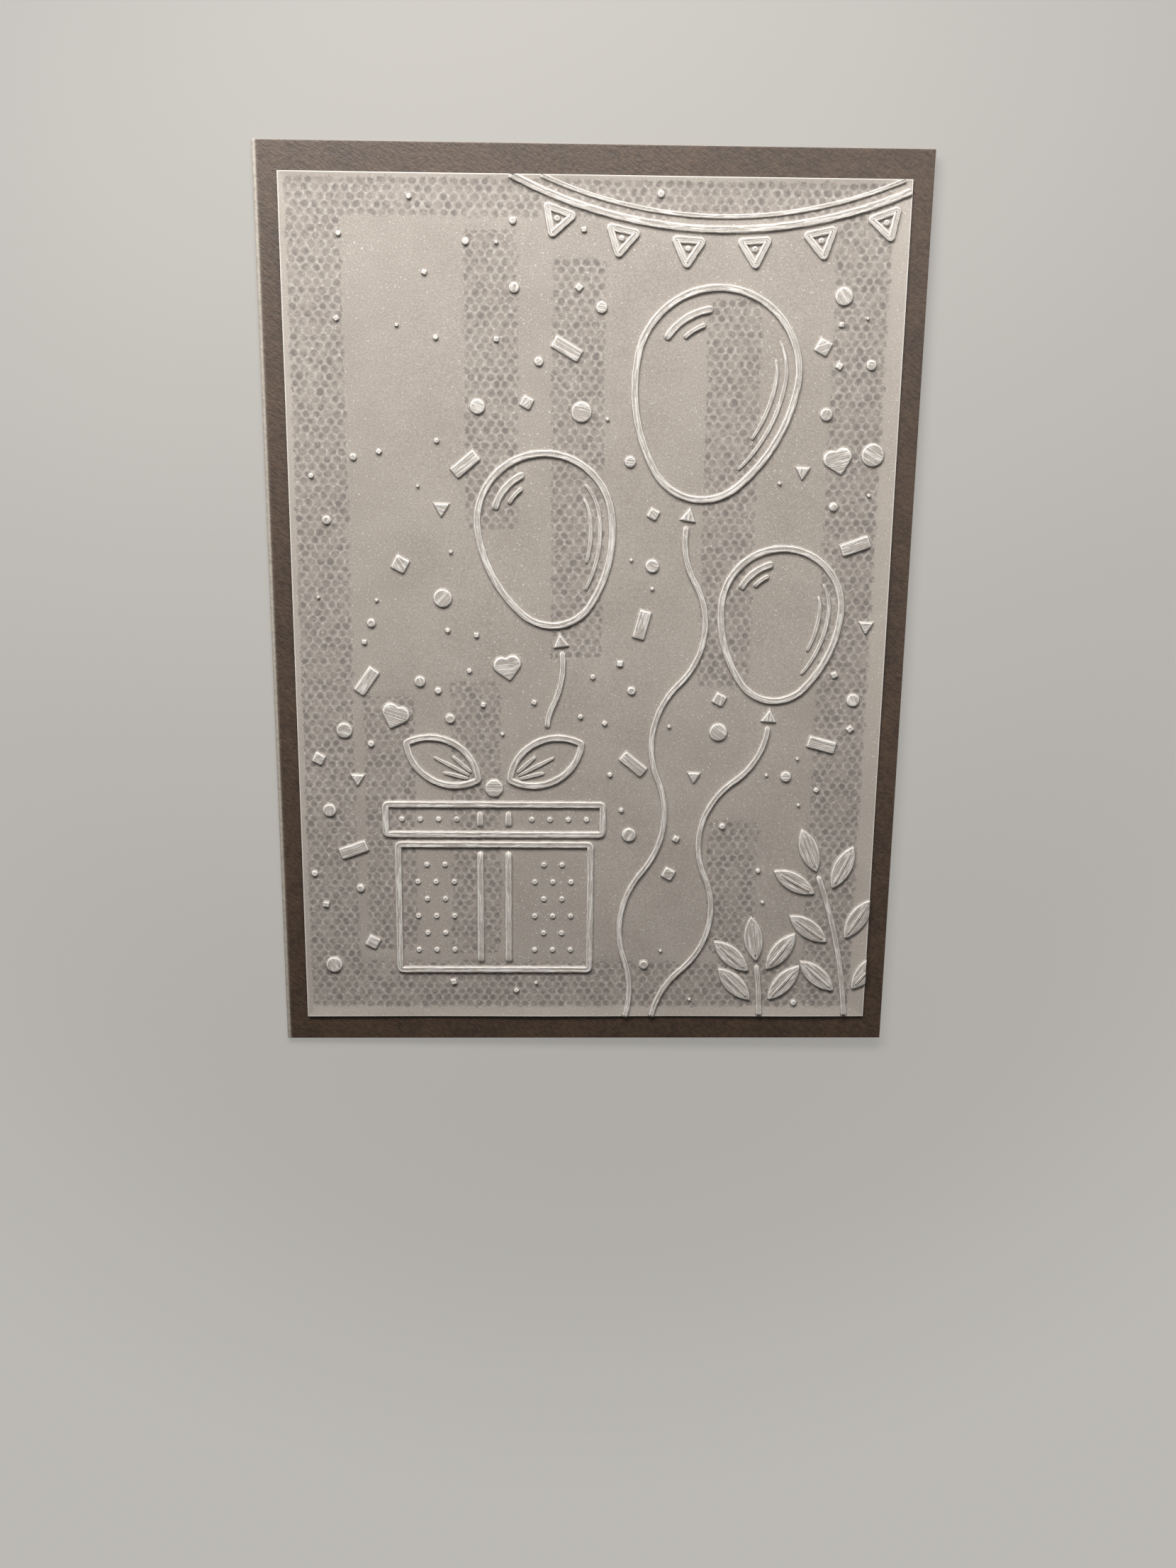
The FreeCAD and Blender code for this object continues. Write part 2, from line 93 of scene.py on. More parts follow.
# Glue strips as the frame holds them: left, right, foot and top on the panel
STRIPS = []
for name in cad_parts:
    if name.startswith("adhesive"):
        low, high = mm_box(name)
        (left, foot), (right, top) = (low - panel_low)[:2], (high - panel_low)[:2]
        STRIPS.append((left, right, foot, top))


def glued(across, along, soft=0.3):
    """1 over a glue strip and 0 elsewhere, with a soft edge: the greatest over all strips of the
    product of four smooth steps."""
    held = np.zeros(np.broadcast(across, along).shape)
    for left, right, foot, top in STRIPS:
        inside = 1.0
        for value, edge in ((across, left), (-across, -right), (along, foot), (-along, -top)):
            inside = inside * smooth_step(value, edge - soft, edge + soft)
        held = np.maximum(held, inside)
    return held


# How far the sheet swells, puckers and curls up, how wide its curled margin is, and how much of the
# swell the glue holds down
SWELL = 0.10
PUCKER = 0.015
CURL = 0.20
MARGIN = 2.4
HELD_DOWN = 0.7


def off_edge(across, along, width, height):
    """How far each place is from the nearest edge of a rectangle."""
    return np.minimum(np.minimum(across, width - across), np.minimum(along, height - along))


def sheet_height(across, along):
    """Height of the vellum's upper side over the glue: its thickness, slow swells that are flatter
    where it is stuck, small puckers, and free edges that curl up by the square of how near they are."""
    swell = (2 + np.sin(across / 6.1 + 0.8 * np.sin(along / 17)) + np.sin(along / 8.3 + 1.3)) / 4
    pucker = (2 + np.sin(across / 1.3 + along / 2.9) + np.sin(along / 1.1 - across / 2.3 + 0.7)) / 4
    near = np.clip(1 - off_edge(across, along, PANEL_WIDTH, PANEL_HEIGHT) / MARGIN, 0, 1)
    curl = near ** 2 * (1 + 0.4 * np.sin(along / 9) + 0.3 * np.sin(across / 7 + 2))
    free = 1 - HELD_DOWN * glued(across, along)
    return VELLUM + SWELL * swell * free + PUCKER * pucker + CURL * curl


# Mesh making
def put_in(name, data, place=(0.0, 0.0, 0.0)):
    """An object in the scene, made from its mesh, lamp or camera."""
    made = bpy.data.objects.new(name, data)
    made.location = place
    bpy.context.scene.collection.objects.link(made)
    return made


def add_values(mesh, name, values):
    """One value for each point, for the material to read by name."""
    mesh.attributes.new(name, "FLOAT", "POINT").data.foreach_set("value", values.astype(np.float32))


def make_piece(name, points, faces, map_points, material, replaced, rim=None):
    """A mesh object from points in metres, lists of point numbers, and one map place for each corner."""
    mesh = bpy.data.meshes.new(name)
    mesh.from_pydata(points.tolist(), [], faces)
    mesh.uv_layers.new(name="surface").uv.foreach_set("vector", map_points.astype(np.float32).ravel())
    mesh.polygons.foreach_set("use_smooth", np.ones(len(faces), bool))
    if rim is not None:
        add_values(mesh, "rim", rim)
    mesh.materials.append(material)
    piece = put_in(name, mesh)
    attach(piece, "root")
    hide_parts(replaced)
    return piece


def cells(grid):
    """The four corners of every cell of a grid, anticlockwise from its first point."""
    return np.stack([grid[:-1, :-1], grid[1:, :-1], grid[1:, 1:], grid[:-1, 1:]], axis=2)


def thin_sheet(outer, inner, map_grid):
    """A closed sheet from two grids of points: one side, the other side turned over, and a rim of
    cells between their outlines. Gives points, faces and map places."""
    number = np.arange(outer.size // 3).reshape(outer.shape[:2])
    count = number.size
    face = cells(number).reshape(-1, 4)
    ring = np.concatenate([number[:-1, 0], number[-1, :-1], number[:0:-1, -1], number[0, :0:-1]])
    rim = np.stack([ring, ring + count, np.roll(ring, -1) + count, np.roll(ring, -1)], axis=-1)
    faces = np.concatenate([face, face[:, ::-1] + count, rim])
    points = np.concatenate([outer.reshape(-1, 3), inner.reshape(-1, 3)])
    places = map_grid.reshape(-1, 2)[faces % count]
    return points, faces.tolist(), places.reshape(-1, 2)


def edge_lines(length, spacing, near):
    """Grid lines from 0 to length: a few close to both ends, and even ones between them."""
    near = np.array(near)
    inner = np.linspace(near[-1], length - near[-1], int(round(length / spacing)) + 1)
    return np.concatenate([near[:-1], inner, (length - near[:-1])[::-1]])


# How much of a sheet's thickness is left at its rounded cut edge
EDGE_LEFT = 0.45


def edge_share(lines, length, radius):
    """How much of the thickness is left at each line: a quarter round of this radius at both ends."""
    depth = np.clip(np.minimum(lines, length - lines) / radius, 0, 1)
    return EDGE_LEFT + (1 - EDGE_LEFT) * np.sqrt(1 - (1 - depth) ** 2)


# Shader tools
def add(tree, kind, inputs=None, **settings):
    """Adds a node. Each input is a number, a colour or another node's output."""
    made = tree.nodes.new(kind)
    for name, value in settings.items():
        setattr(made, name, value)
    for socket, value in (inputs or {}).items():
        if isinstance(value, bpy.types.NodeSocket):
            tree.links.new(value, made.inputs[socket])
        else:
            made.inputs[socket].default_value = value
    return made


def maths(tree, operation, *values):
    """One step of arithmetic."""
    return add(tree, "ShaderNodeMath", dict(enumerate(values)), operation=operation).outputs[0]


def times(tree, first, second):
    """The product of two values."""
    return maths(tree, "MULTIPLY", first, second)


def vector_maths(tree, operation, *values, output=0):
    """One step of vector arithmetic. Output 1 holds a length."""
    made = add(tree, "ShaderNodeVectorMath", dict(enumerate(values)), operation=operation)
    return made.outputs[output]


def weighed(tree, first, first_share, second, second_share):
    """The sum of two values, each times its share."""
    return maths(tree, "MULTIPLY_ADD", first, first_share, times(tree, second, second_share))


def ramp(tree, value, low, high, start=0.0, end=1.0):
    """A smooth step of the value from start to end."""
    inputs = {0: value, 1: low, 2: high, 3: start, 4: end}
    return add(tree, "ShaderNodeMapRange", inputs, interpolation_type="SMOOTHSTEP").outputs[0]


def mix_colours(tree, share, first, second):
    """The first colour at share 0 and the second at 1."""
    return add(tree, "ShaderNodeMix", {0: share, 6: first, 7: second}, data_type="RGBA").outputs[2]


def noise(tree, vector, scale, detail=2.0, roughness=0.5):
    """Smooth noise round 0.5. The scale is features for each millimetre."""
    inputs = {"Vector": vector, "Scale": scale, "Detail": detail, "Roughness": roughness}
    return add(tree, "ShaderNodeTexNoise", inputs).outputs["Fac"]


def effect(name, inputs, outputs):
    """A shader group that is given a place and values, and puts out values. Gives its end nodes too."""
    group = bpy.data.node_groups.new(name, "ShaderNodeTree")
    sockets = [("Vector", "INPUT", "NodeSocketVector")]
    sockets += [(socket, "INPUT", "NodeSocketFloat") for socket in inputs]
    sockets += [(socket, "OUTPUT", "NodeSocketFloat") for socket in outputs]
    for socket, kind, form in sockets:
        group.interface.new_socket(name=socket, in_out=kind, socket_type=form)
    return group, group.nodes.new("NodeGroupInput").outputs, group.nodes.new("NodeGroupOutput")


def put_out(group, made, **values):
    """Joins each value to the group's output of that name."""
    for socket, value in values.items():
        group.links.new(value, made.inputs[socket])


def use_effect(tree, group, **inputs):
    """Places an effect in a material and gives its outputs."""
    return add(tree, "ShaderNodeGroup", inputs, node_tree=group).outputs


def finish(name, **plain):
    """A material with its shader, its plain values set on the shader's own sockets."""
    material = bpy.data.materials.new(name)
    material.use_nodes = True
    shader = material.node_tree.nodes["Principled BSDF"]
    for socket, value in plain.items():
        shader.inputs[socket.replace("_", " ")].default_value = value
    return material, material.node_tree, shader


def attribute(tree, name):
    """A value that the mesh holds for each point."""
    return add(tree, "ShaderNodeAttribute", attribute_name=name).outputs["Fac"]


def paint(tree, shader, share, first, second):
    """Gives the shader a mix of two colours."""
    tree.links.new(mix_colours(tree, share, first, second), shader.inputs["Base Color"])


def dent(tree, shader, height, strength, depth):
    """Tilts the shader's normal by a height field of this depth in metres."""
    bump = add(tree, "ShaderNodeBump", {"Strength": strength, "Distance": depth, "Height": height})
    tree.links.new(bump.outputs[0], shader.inputs["Normal"])


def object_mm(tree):
    """Object coordinates in millimetres."""
    place = add(tree, "ShaderNodeTexCoord").outputs["Object"]
    return vector_maths(tree, "MULTIPLY", place, (1 / MM,) * 3)


# Each noise: its features for each millimetre, its octaves and its roughness
FIBRE_NOISE = (0.9, 4.0, 0.62)
FUZZ_NOISE = (1.6, 4.0, 0.75)
MOTTLE_NOISE = (0.16, 3.0, 0.6)
TOOTH_NOISE = (4.2, 3.0, 0.65)
CLOUD_NOISE = (0.09, 3.0, 0.55)
PINPOINT_GLINT_NOISE = (3.2, 1.0, 0.5)
BLOT_NOISE = (0.6, 4.0, 0.75)
FAINT_NOISE = (0.4, 3.0, 0.8)
GLINT_NOISE = (1.3, 3.0, 0.7)
THREAD_NOISE = (1.0, 3.0, 0.6)
BREAK_NOISE = (0.9, 3.0, 0.7)

# Felt: how much closer its noise is across the fibres than along them, and the fibres' slant
FIBRE_STRETCH = (1.0, 2.8, 1.0)
FIBRE_SLANT = math.radians(38)


def felt_effect():
    """Felted stock: short fibres that lie aslant, as noise drawn out along their way and mixed with an
    even fine noise, over slow mottling."""
    group, given, made = effect("felted fibres", ["Turn"], ["Fibres", "Mottle"])
    place = given["Vector"]
    inputs = {"Vector": place, "Angle": given["Turn"]}
    turned = add(group, "ShaderNodeVectorRotate", inputs, rotation_type="Z_AXIS").outputs[0]
    drawn = noise(group, vector_maths(group, "MULTIPLY", turned, FIBRE_STRETCH), *FIBRE_NOISE)
    fibres = weighed(group, drawn, 0.5, noise(group, place, *FUZZ_NOISE), 0.5)
    put_out(group, made, Fibres=fibres, Mottle=noise(group, place, *MOTTLE_NOISE))
    return group


def grain_effect():
    """Vellum: a fine cloudy tooth, slow clouds, and painted glints: pinpoints where it catches the light,
    painted into its colour.
    """
    group, given, made = effect("vellum grain", [], ["Tooth", "Clouds", "Points"])
    place = given["Vector"]
    tooth, clouds = noise(group, place, *TOOTH_NOISE), noise(group, place, *CLOUD_NOISE)
    points = ramp(group, noise(group, place, *PINPOINT_GLINT_NOISE), 0.66, 0.76)
    put_out(group, made, Tooth=tooth, Clouds=clouds, Points=points)
    return group


# Glue dots: distance between dots in a row, between rows, the dots' radius, how far noise moves
# them, and how much it changes their size
DOT_PITCH = 1.58
ROW_PITCH = 1.17
DOT_RADIUS = 0.58
DOT_JOG = 0.9
DOT_BLOT = 0.7


def glue_effect():
    """Dots on a staggered grid: the distance to the nearer of two plain grids, the second moved by half
    a cell, is cut off at the dot's radius. Places and sizes are jogged by noise, and some are faint.
    What is furthest from all dots is the net between them, which has painted glints in places: a painted
    highlight."""
    group, given, made = effect("glue dots", ["Strip"], ["Dots", "Net", "Wet"])
    given_place = given["Vector"]
    jog = add(group, "ShaderNodeTexNoise", {"Vector": given_place, "Scale": 0.5, "Detail": 4.0})
    jog = vector_maths(group, "SUBTRACT", jog.outputs["Color"], (0.5, 0.5, 0.5))
    place = vector_maths(group, "MULTIPLY_ADD", jog, (DOT_JOG, DOT_JOG, 0.0), given_place)
    cell = (DOT_PITCH, 2 * ROW_PITCH, 1.0)
    far = []
    for shift in ((0.0, 0.0, 0.0), (0.5, 0.5, 0.0)):
        share = vector_maths(group, "ADD", vector_maths(group, "DIVIDE", place, cell), shift)
        share = vector_maths(group, "SUBTRACT", vector_maths(group, "FRACTION", share), (0.5, 0.5, 0.0))
        offset = vector_maths(group, "MULTIPLY", share, (DOT_PITCH, 2 * ROW_PITCH, 0.0))
        far.append(vector_maths(group, "LENGTH", offset, output=1))
    blot = maths(group, "SUBTRACT", noise(group, given_place, *BLOT_NOISE), 0.5)
    nearest = maths(group, "MULTIPLY_ADD", blot, -DOT_BLOT, maths(group, "MINIMUM", *far))
    held = ramp(group, maths(group, "MULTIPLY_ADD", blot, 1.6, given["Strip"]), 0.38, 0.62)
    strength = ramp(group, noise(group, given_place, *FAINT_NOISE), 0.36, 0.66, 0.2, 1.0)
    dots = ramp(group, nearest, 0.6 * DOT_RADIUS, 1.25 * DOT_RADIUS, 1.0, 0.0)
    dots = times(group, times(group, dots, strength), held)
    painted_glint = ramp(group, noise(group, given_place, *GLINT_NOISE), 0.42, 0.66)
    net = ramp(group, nearest, 0.95 * DOT_RADIUS, 1.4 * DOT_RADIUS)
    net = times(group, times(group, net, painted_glint), held)
    put_out(group, made, Dots=dots, Net=net, Wet=held)
    return group


# Pressed lines in the whitening: where each runs, from 0 in the middle of a form to 1 at its foot,
# half its width and its strength. Then how the noise of the threads is drawn out along the form.
PALE_LINES = ((0.75, 0.19, 1.0), (1.13, 0.07, 0.5))
THREAD_STRETCH = (0.10, 1.9, 1.0)
THREAD_STRENGTH = 0.8


def press_effect():
    """Vellum whitened by the press: a pale line along the top of each form's walls and a fainter one at
    their foot, thin threads along it where a drawn-out noise crosses its middle value, and a broken fill
    inside. Rim is 0 in the middle of a form and 1 at its foot."""
    group, given, made = effect("press whitening", ["Rim", "Fill"], ["White", "Threads"])
    place, rim = given["Vector"], given["Rim"]
    drawn = noise(group, vector_maths(group, "MULTIPLY", place, THREAD_STRETCH), *THREAD_NOISE)
    off = maths(group, "SUBTRACT", drawn, 0.5)
    threads = ramp(group, maths(group, "ABSOLUTE", off), 0.01, 0.06, 1.0, 0.0)
    broken = ramp(group, noise(group, place, *BREAK_NOISE), 0.40, 0.60)
    ragged = maths(group, "MULTIPLY_ADD", off, 0.22, rim)
    lines = []
    for middle, half, strength in PALE_LINES:
        away = maths(group, "ABSOLUTE", maths(group, "SUBTRACT", ragged, middle))
        lines.append(ramp(group, away, 0.25 * half, half, strength, 0.0))
    edge = maths(group, "MULTIPLY_ADD", broken, 0.25, 0.75)
    edge = times(group, maths(group, "MAXIMUM", *lines), edge)
    inside = ramp(group, rim, 0.76, 0.92, 1.0, 0.0)
    fill = maths(group, "MULTIPLY_ADD", broken, 0.75, 0.25)
    fill = times(group, given["Fill"], fill)
    fill = maths(group, "MAXIMUM", fill, times(group, threads, THREAD_STRENGTH))
    white = maths(group, "MAXIMUM", edge, times(group, inside, fill))
    put_out(group, made, White=white, Threads=threads)
    return group


FELT, GRAIN, GLUE, PRESS = felt_effect(), grain_effect(), glue_effect(), press_effect()

# Colours of the stock, of the vellum and of the glue
STOCK_DARK = (0.022, 0.011, 0.005, 1.0)
STOCK_LIGHT = (0.086, 0.048, 0.026, 1.0)
STOCK_WORN_AND_SHINE = (0.42, 0.38, 0.33, 1.0)
VELLUM_DEEP = (0.288, 0.255, 0.225, 1.0)
VELLUM_PALE = (0.430, 0.389, 0.352, 1.0)
VELLUM_FREE = (0.560, 0.505, 0.455, 1.0)
VELLUM_WET = (0.175, 0.155, 0.146, 1.0)
# This white is the press's own whitening, and also the colour of the painted glints and of the painted
# highlight along the cut edge
VELLUM_WHITE = (0.79, 0.768, 0.735, 1.0)
GLUE_CLEAR = (0.30, 0.27, 0.23, 1.0)
GLUE_DOT = (0.16, 0.14, 0.12, 1.0)

# How strongly the glue's film, its dots and the painted glints on its net show through the vellum, how
# pale the vellum's free margin is, and how white the painted highlight along its cut edge is
FILM_SHOWS = 0.05
DOTS_SHOW = 0.85
NET_GLINTS_SHOW = 0.3
MARGIN_SHOWS = 0.25
EDGE_HIGHLIGHT_SHOWS = 0.65

# How white the press left the inside of lines, flat fields and specks
LINE_FILL = 0.22
FIELD_FILL = 0.16
SPECK_FILL = 0.6


def stock_finish():
    """Dark felted card stock, paler where the sheet's rim value says: a painted highlight with fibre wear
    along the fold, and wear at the cut edges.
    """
    material, tree, shader = finish("felted card stock", Roughness=0.55, Specular_IOR_Level=1.0)
    place = object_mm(tree)
    felt = use_effect(tree, FELT, Vector=place, Turn=FIBRE_SLANT)
    fibres, mottle = felt["Fibres"], felt["Mottle"]
    tone = weighed(tree, ramp(tree, fibres, 0.34, 0.66), 0.72, ramp(tree, mottle, 0.3, 0.7), 0.28)
    colour = mix_colours(tree, tone, STOCK_DARK, STOCK_LIGHT)
    rim = ramp(tree, attribute(tree, "rim"), 0.15, 0.9)
    # Painted highlight with fibre wear along the fold, and wear along the cut edges, mixed towards a pale
    # colour
    wear_and_shine = times(tree, rim, ramp(tree, fibres, 0.2, 0.62, 0.45, 1.0))
    paint(tree, shader, wear_and_shine, colour, STOCK_WORN_AND_SHINE)
    dent(tree, shader, fibres, 0.8, 0.00015)
    return material


def vellum_tone(tree, place):
    """The sheet's own colour and tooth, with painted pinpoint glints, before glue and press."""
    grain = use_effect(tree, GRAIN, Vector=place)
    clouds, tooth = ramp(tree, grain["Clouds"], 0.3, 0.7), ramp(tree, grain["Tooth"], 0.3, 0.7)
    share = weighed(tree, clouds, 0.25, tooth, 0.75)
    colour = mix_colours(tree, share, VELLUM_DEEP, VELLUM_PALE)
    # Painted highlight: pinpoint glints mixed towards white
    points = times(tree, grain["Points"], 0.6)
    return mix_colours(tree, points, colour, VELLUM_WHITE), grain["Tooth"]


def sheet_finish():
    """Frosted vellum with the glue dots showing through it, painted glints on the glue's net, and a
    painted highlight along its cut edges.
    """
    material, tree, shader = finish("frosted vellum", Roughness=0.52, Specular_IOR_Level=0.4)
    colour, tooth = vellum_tone(tree, object_mm(tree))
    surface = add(tree, "ShaderNodeUVMap", uv_map="surface").outputs[0]
    glue = use_effect(tree, GLUE, Vector=surface, Strip=attribute(tree, "strip"))
    wet = weighed(tree, glue["Wet"], FILM_SHOWS, glue["Dots"], DOTS_SHOW)
    colour = mix_colours(tree, wet, colour, VELLUM_WET)
    # Painted highlight: glints on the net between the glue dots, mixed towards white
    colour = mix_colours(tree, times(tree, glue["Net"], NET_GLINTS_SHOW), colour, VELLUM_WHITE)
    free = times(tree, attribute(tree, "margin"), maths(tree, "SUBTRACT", 1.0, glue["Wet"]))
    colour = mix_colours(tree, times(tree, free, MARGIN_SHOWS), colour, VELLUM_FREE)
    # Painted highlight along the cut edges, mixed towards white
    edge = ramp(tree, attribute(tree, "rim"), 0.3, 0.9, 0.0, EDGE_HIGHLIGHT_SHOWS)
    paint(tree, shader, edge, colour, VELLUM_WHITE)
    dent(tree, shader, weighed(tree, tooth, 0.5, glue["Dots"], -0.8), 0.35, 0.00004)
    return material


def pressed_finish(name, fill):
    """Vellum that the press has drawn up: its own tone, whitened at the shoulders and in streaks."""
    material, tree, shader = finish(name, Roughness=0.50, Specular_IOR_Level=0.4)
    colour, tooth = vellum_tone(tree, object_mm(tree))
    surface = add(tree, "ShaderNodeUVMap", uv_map="surface").outputs[0]
    press = use_effect(tree, PRESS, Vector=surface, Rim=attribute(tree, "rim"), Fill=fill)
    paint(tree, shader, press["White"], colour, VELLUM_WHITE)
    dent(tree, shader, weighed(tree, tooth, 0.3, press["Threads"], 0.7), 0.6, 0.00006)
    return material


def glue_finish():
    """Clear tape-runner glue: a tacky film with rows of dots."""
    material, tree, shader = finish("tacky glue", Roughness=0.25, Coat_Weight=0.4)
    glue = use_effect(tree, GLUE, Vector=object_mm(tree), Strip=1.0)
    paint(tree, shader, glue["Dots"], GLUE_CLEAR, GLUE_DOT)
    dent(tree, shader, glue["Dots"], 0.6, 0.00005)
    return material


# The card's sheet: its grid's spacing and its lines near an edge, its lines round the fold, and how
# far its cut edges are rounded
STOCK_GRID = 2.0
STOCK_NEAR = (0.0, 0.02, 0.05, 0.1, 0.3, 1.0)
FOLD_LINES = 21
STOCK_ROUND = 0.1

# A pale strip round the fold, a painted highlight with fibre wear: where round the fold it lies and how
# wide it
# is there. Wear at the cut edges: how strong and how wide it is. Then how much of both the inside of the
# sheet shows
FOLD_SHINE_AT = 0.85
FOLD_SHINE_WIDTH = 0.4
EDGE_WEAR = 0.7
EDGE_WEAR_WIDTH = 0.12
INSIDE_WEAR_AND_SHINE = 0.3


def card_sheet():
    """The folded sheet. A point's way across the opened sheet runs along the back leaf towards the fold,
    round the fold's middle radius, and out along the front leaf, which slopes by the opening angle:
    fold centre + middle radius * direction of the turn so far + what is left on either leaf."""
    outer_radius = FOLD_GAP / 2 + STOCK
    middle = outer_radius - STOCK / 2
    fold_x = card_low[0] + outer_radius
    back = card_high[0] - fold_x
    bend = middle * (math.pi - OPENING)
    front = back - BACK_LEAF_LEAD
    back_lines = edge_lines(back, STOCK_GRID, STOCK_NEAR)
    fold_lines = back + np.linspace(0, bend, FOLD_LINES)
    front_lines = back + bend + edge_lines(front, STOCK_GRID, STOCK_NEAR)
    way = np.concatenate([back_lines[:-1], fold_lines[:-1], front_lines])
    length = back + bend + front
    height = card_high[1] - card_low[1]
    rise = edge_lines(height, STOCK_GRID, STOCK_NEAR)
    turn = -math.pi / 2 - np.clip((way - back) / middle, 0, math.pi - OPENING)
    on_back, on_front = np.maximum(back - way, 0), np.maximum(way - back - bend, 0)
    x = fold_x + middle * np.cos(turn) + on_back + on_front * math.cos(OPENING)
    z = outer_radius + middle * np.sin(turn) + on_front * math.sin(OPENING)
    left = np.minimum.outer(edge_share(way, length, STOCK_ROUND), edge_share(rise, height, STOCK_ROUND))
    half = STOCK / 2 * left
    sides = []
    for side in (1, -1):
        points = np.stack([
            x[:, None] + side * half * np.cos(turn)[:, None],
            np.broadcast_to(card_low[1] + rise, half.shape),
            z[:, None] + side * half * np.sin(turn)[:, None],
        ], axis=-1)
        sides.append(points * MM)
    surface = np.stack(np.meshgrid(way, rise, indexing="ij"), axis=-1)
    points, faces, places = thin_sheet(*sides, surface)
    # A pale strip round the fold: a painted highlight with fibre wear. The cut edges carry wear.
    fold = np.exp(-(((way - back - FOLD_SHINE_AT * bend) / FOLD_SHINE_WIDTH) ** 2))[:, None]
    border = off_edge(way[:, None], rise, length, height)
    rim = np.maximum(fold, EDGE_WEAR * np.clip(1 - border / EDGE_WEAR_WIDTH, 0, 1))
    rim = np.concatenate([rim.ravel(), INSIDE_WEAR_AND_SHINE * rim.ravel()])
    make_piece("card_sheet", points, faces, places, stock_finish(), "card_base", rim)


# The vellum's grid, how far its cut edges are rounded, and how wide the painted highlight along them is
VELLUM_GRID = 0.68
VELLUM_NEAR = (0.0, 0.03, 0.08, 0.2, 0.35, 0.6)
VELLUM_ROUND = 0.06
EDGE_HIGHLIGHT_WIDTH = 0.35


def vellum_sheet():
    """The flat of the vellum: its height is sheet_height, and its cut edge is rounded. It tells its
    material where it is stuck and how near its free margin is."""
    across = edge_lines(PANEL_WIDTH, VELLUM_GRID, VELLUM_NEAR)
    along = edge_lines(PANEL_HEIGHT, VELLUM_GRID, VELLUM_NEAR)
    u, v = np.meshgrid(across, along, indexing="ij")
    high = sheet_height(u, v)
    left = np.minimum.outer(edge_share(across, PANEL_WIDTH, VELLUM_ROUND),
                            edge_share(along, PANEL_HEIGHT, VELLUM_ROUND))
    trim = VELLUM / 2 * (1 - left)
    outer, inner = laid(u, v, high - trim), laid(u, v, high - VELLUM + trim)
    points, faces, places = thin_sheet(outer, inner, np.stack([u, v], axis=-1))
    border = off_edge(u, v, PANEL_WIDTH, PANEL_HEIGHT)
    # Where the painted highlight along the cut edges lies
    rim = np.tile(np.clip(1 - border / EDGE_HIGHLIGHT_WIDTH, 0, 1).ravel(), 2)
    piece = make_piece("vellum_sheet", points, faces, places, sheet_finish(), "vellum_panel",
                       rim)
    for name, share in (("strip", glued(u, v, 1.0)), ("margin", np.clip(2 - border / MARGIN, 0, 1))):
        add_values(piece.data, name, np.tile(share.ravel(), 2))


# Paths on the panel
def spot(x, y):
    """A place, or a step from one."""
    return np.array([x, y], float)


def toward(angle, reach=1.0):
    """A step of this reach at this angle, or many steps for many angles."""
    return np.stack([np.cos(angle), np.sin(angle)], axis=-1) * reach


def arc(centre, radius, start, end):
    """Points along an arc from one angle to the other."""
    count = max(3, int(abs(end - start) * radius / STEP) + 1)
    return centre + toward(np.linspace(start, end, count), radius)


def even(path, closed=False, step=STEP):
    """The same path with points at even steps, by interpolation over its length."""
    if closed:
        path = np.concatenate([path, path[:1]])
    far = np.concatenate([[0], np.cumsum(np.linalg.norm(np.diff(path, axis=0), axis=1))])
    count = max(8, int(far[-1] / step) + 1)
    wanted = np.linspace(0, far[-1], count + 1)[: count if closed else count + 1]
    return np.stack([np.interp(wanted, far, path[:, axis]) for axis in (0, 1)], axis=-1)


def straight(start, end):
    """A path straight from one place to another."""
    return even(np.array([start, end]))


def softened(path, passes=3):
    """A closed path with round corners: each point moves halfway to the mean of its neighbours."""
    for _ in range(passes):
        path = (np.roll(path, 1, axis=0) + 2 * path + np.roll(path, -1, axis=0)) / 4
    return path


def chain(start, heading, bends):
    """A path along tangent arcs. Each bend is a radius and a turn in degrees, plus to the left."""
    runs, point = [], start
    for radius, degrees in bends:
        turn = math.radians(degrees)
        first = heading - math.copysign(math.pi / 2, turn)
        centre = point - toward(first, radius)
        runs.append(arc(centre, radius, first, first + turn))
        point = runs[-1][-1]
        heading += turn
    return even(np.concatenate([run if not i else run[1:] for i, run in enumerate(runs)]))


def polygon(corners, step=STEP / 2, passes=3):
    """A closed path round the corners, which are softened."""
    return softened(even(np.array(corners), True, step), passes)


def bar_corners(centre, length, width, turn):
    """The four corners of a turned rectangle."""
    along, aside = toward(turn, length / 2), toward(turn + math.pi / 2, width / 2)
    return [centre + along + aside, centre - along + aside, centre - along - aside, centre + along - aside]


def regular_corners(centre, radius, sides, turn):
    """The corners of a regular form on a circle, the first at the turn."""
    return centre + toward(turn + 2 * math.pi * np.arange(sides) / sides, radius)


def leaf_loop(base, heading, length, width, inset=0.0):
    """Two equal arcs that meet at both ends, from the radius that their length and bulge give."""
    bulge = width / 2
    radius = (length ** 2 / 4 + bulge ** 2) / (2 * bulge)
    middle = base + toward(heading, length / 2)
    half = math.sqrt((radius - inset) ** 2 - (radius - bulge) ** 2)
    spread = math.atan2(half, radius - bulge)
    sides = []
    for side in (heading + math.pi / 2, heading - math.pi / 2):
        hub = middle - toward(side, radius - bulge)
        sides.append(arc(hub, radius - inset, side - spread, side + spread)[:-1])
    return softened(even(np.concatenate(sides), True, STEP / 2), 2)


# A balloon is an egg of four tangent arcs: a half circle, flanks of twice its radius, a round foot
FLANK_TURN = math.radians(40)
FOOT_SHARE = (2 * math.cos(FLANK_TURN) - 1) / math.cos(FLANK_TURN)


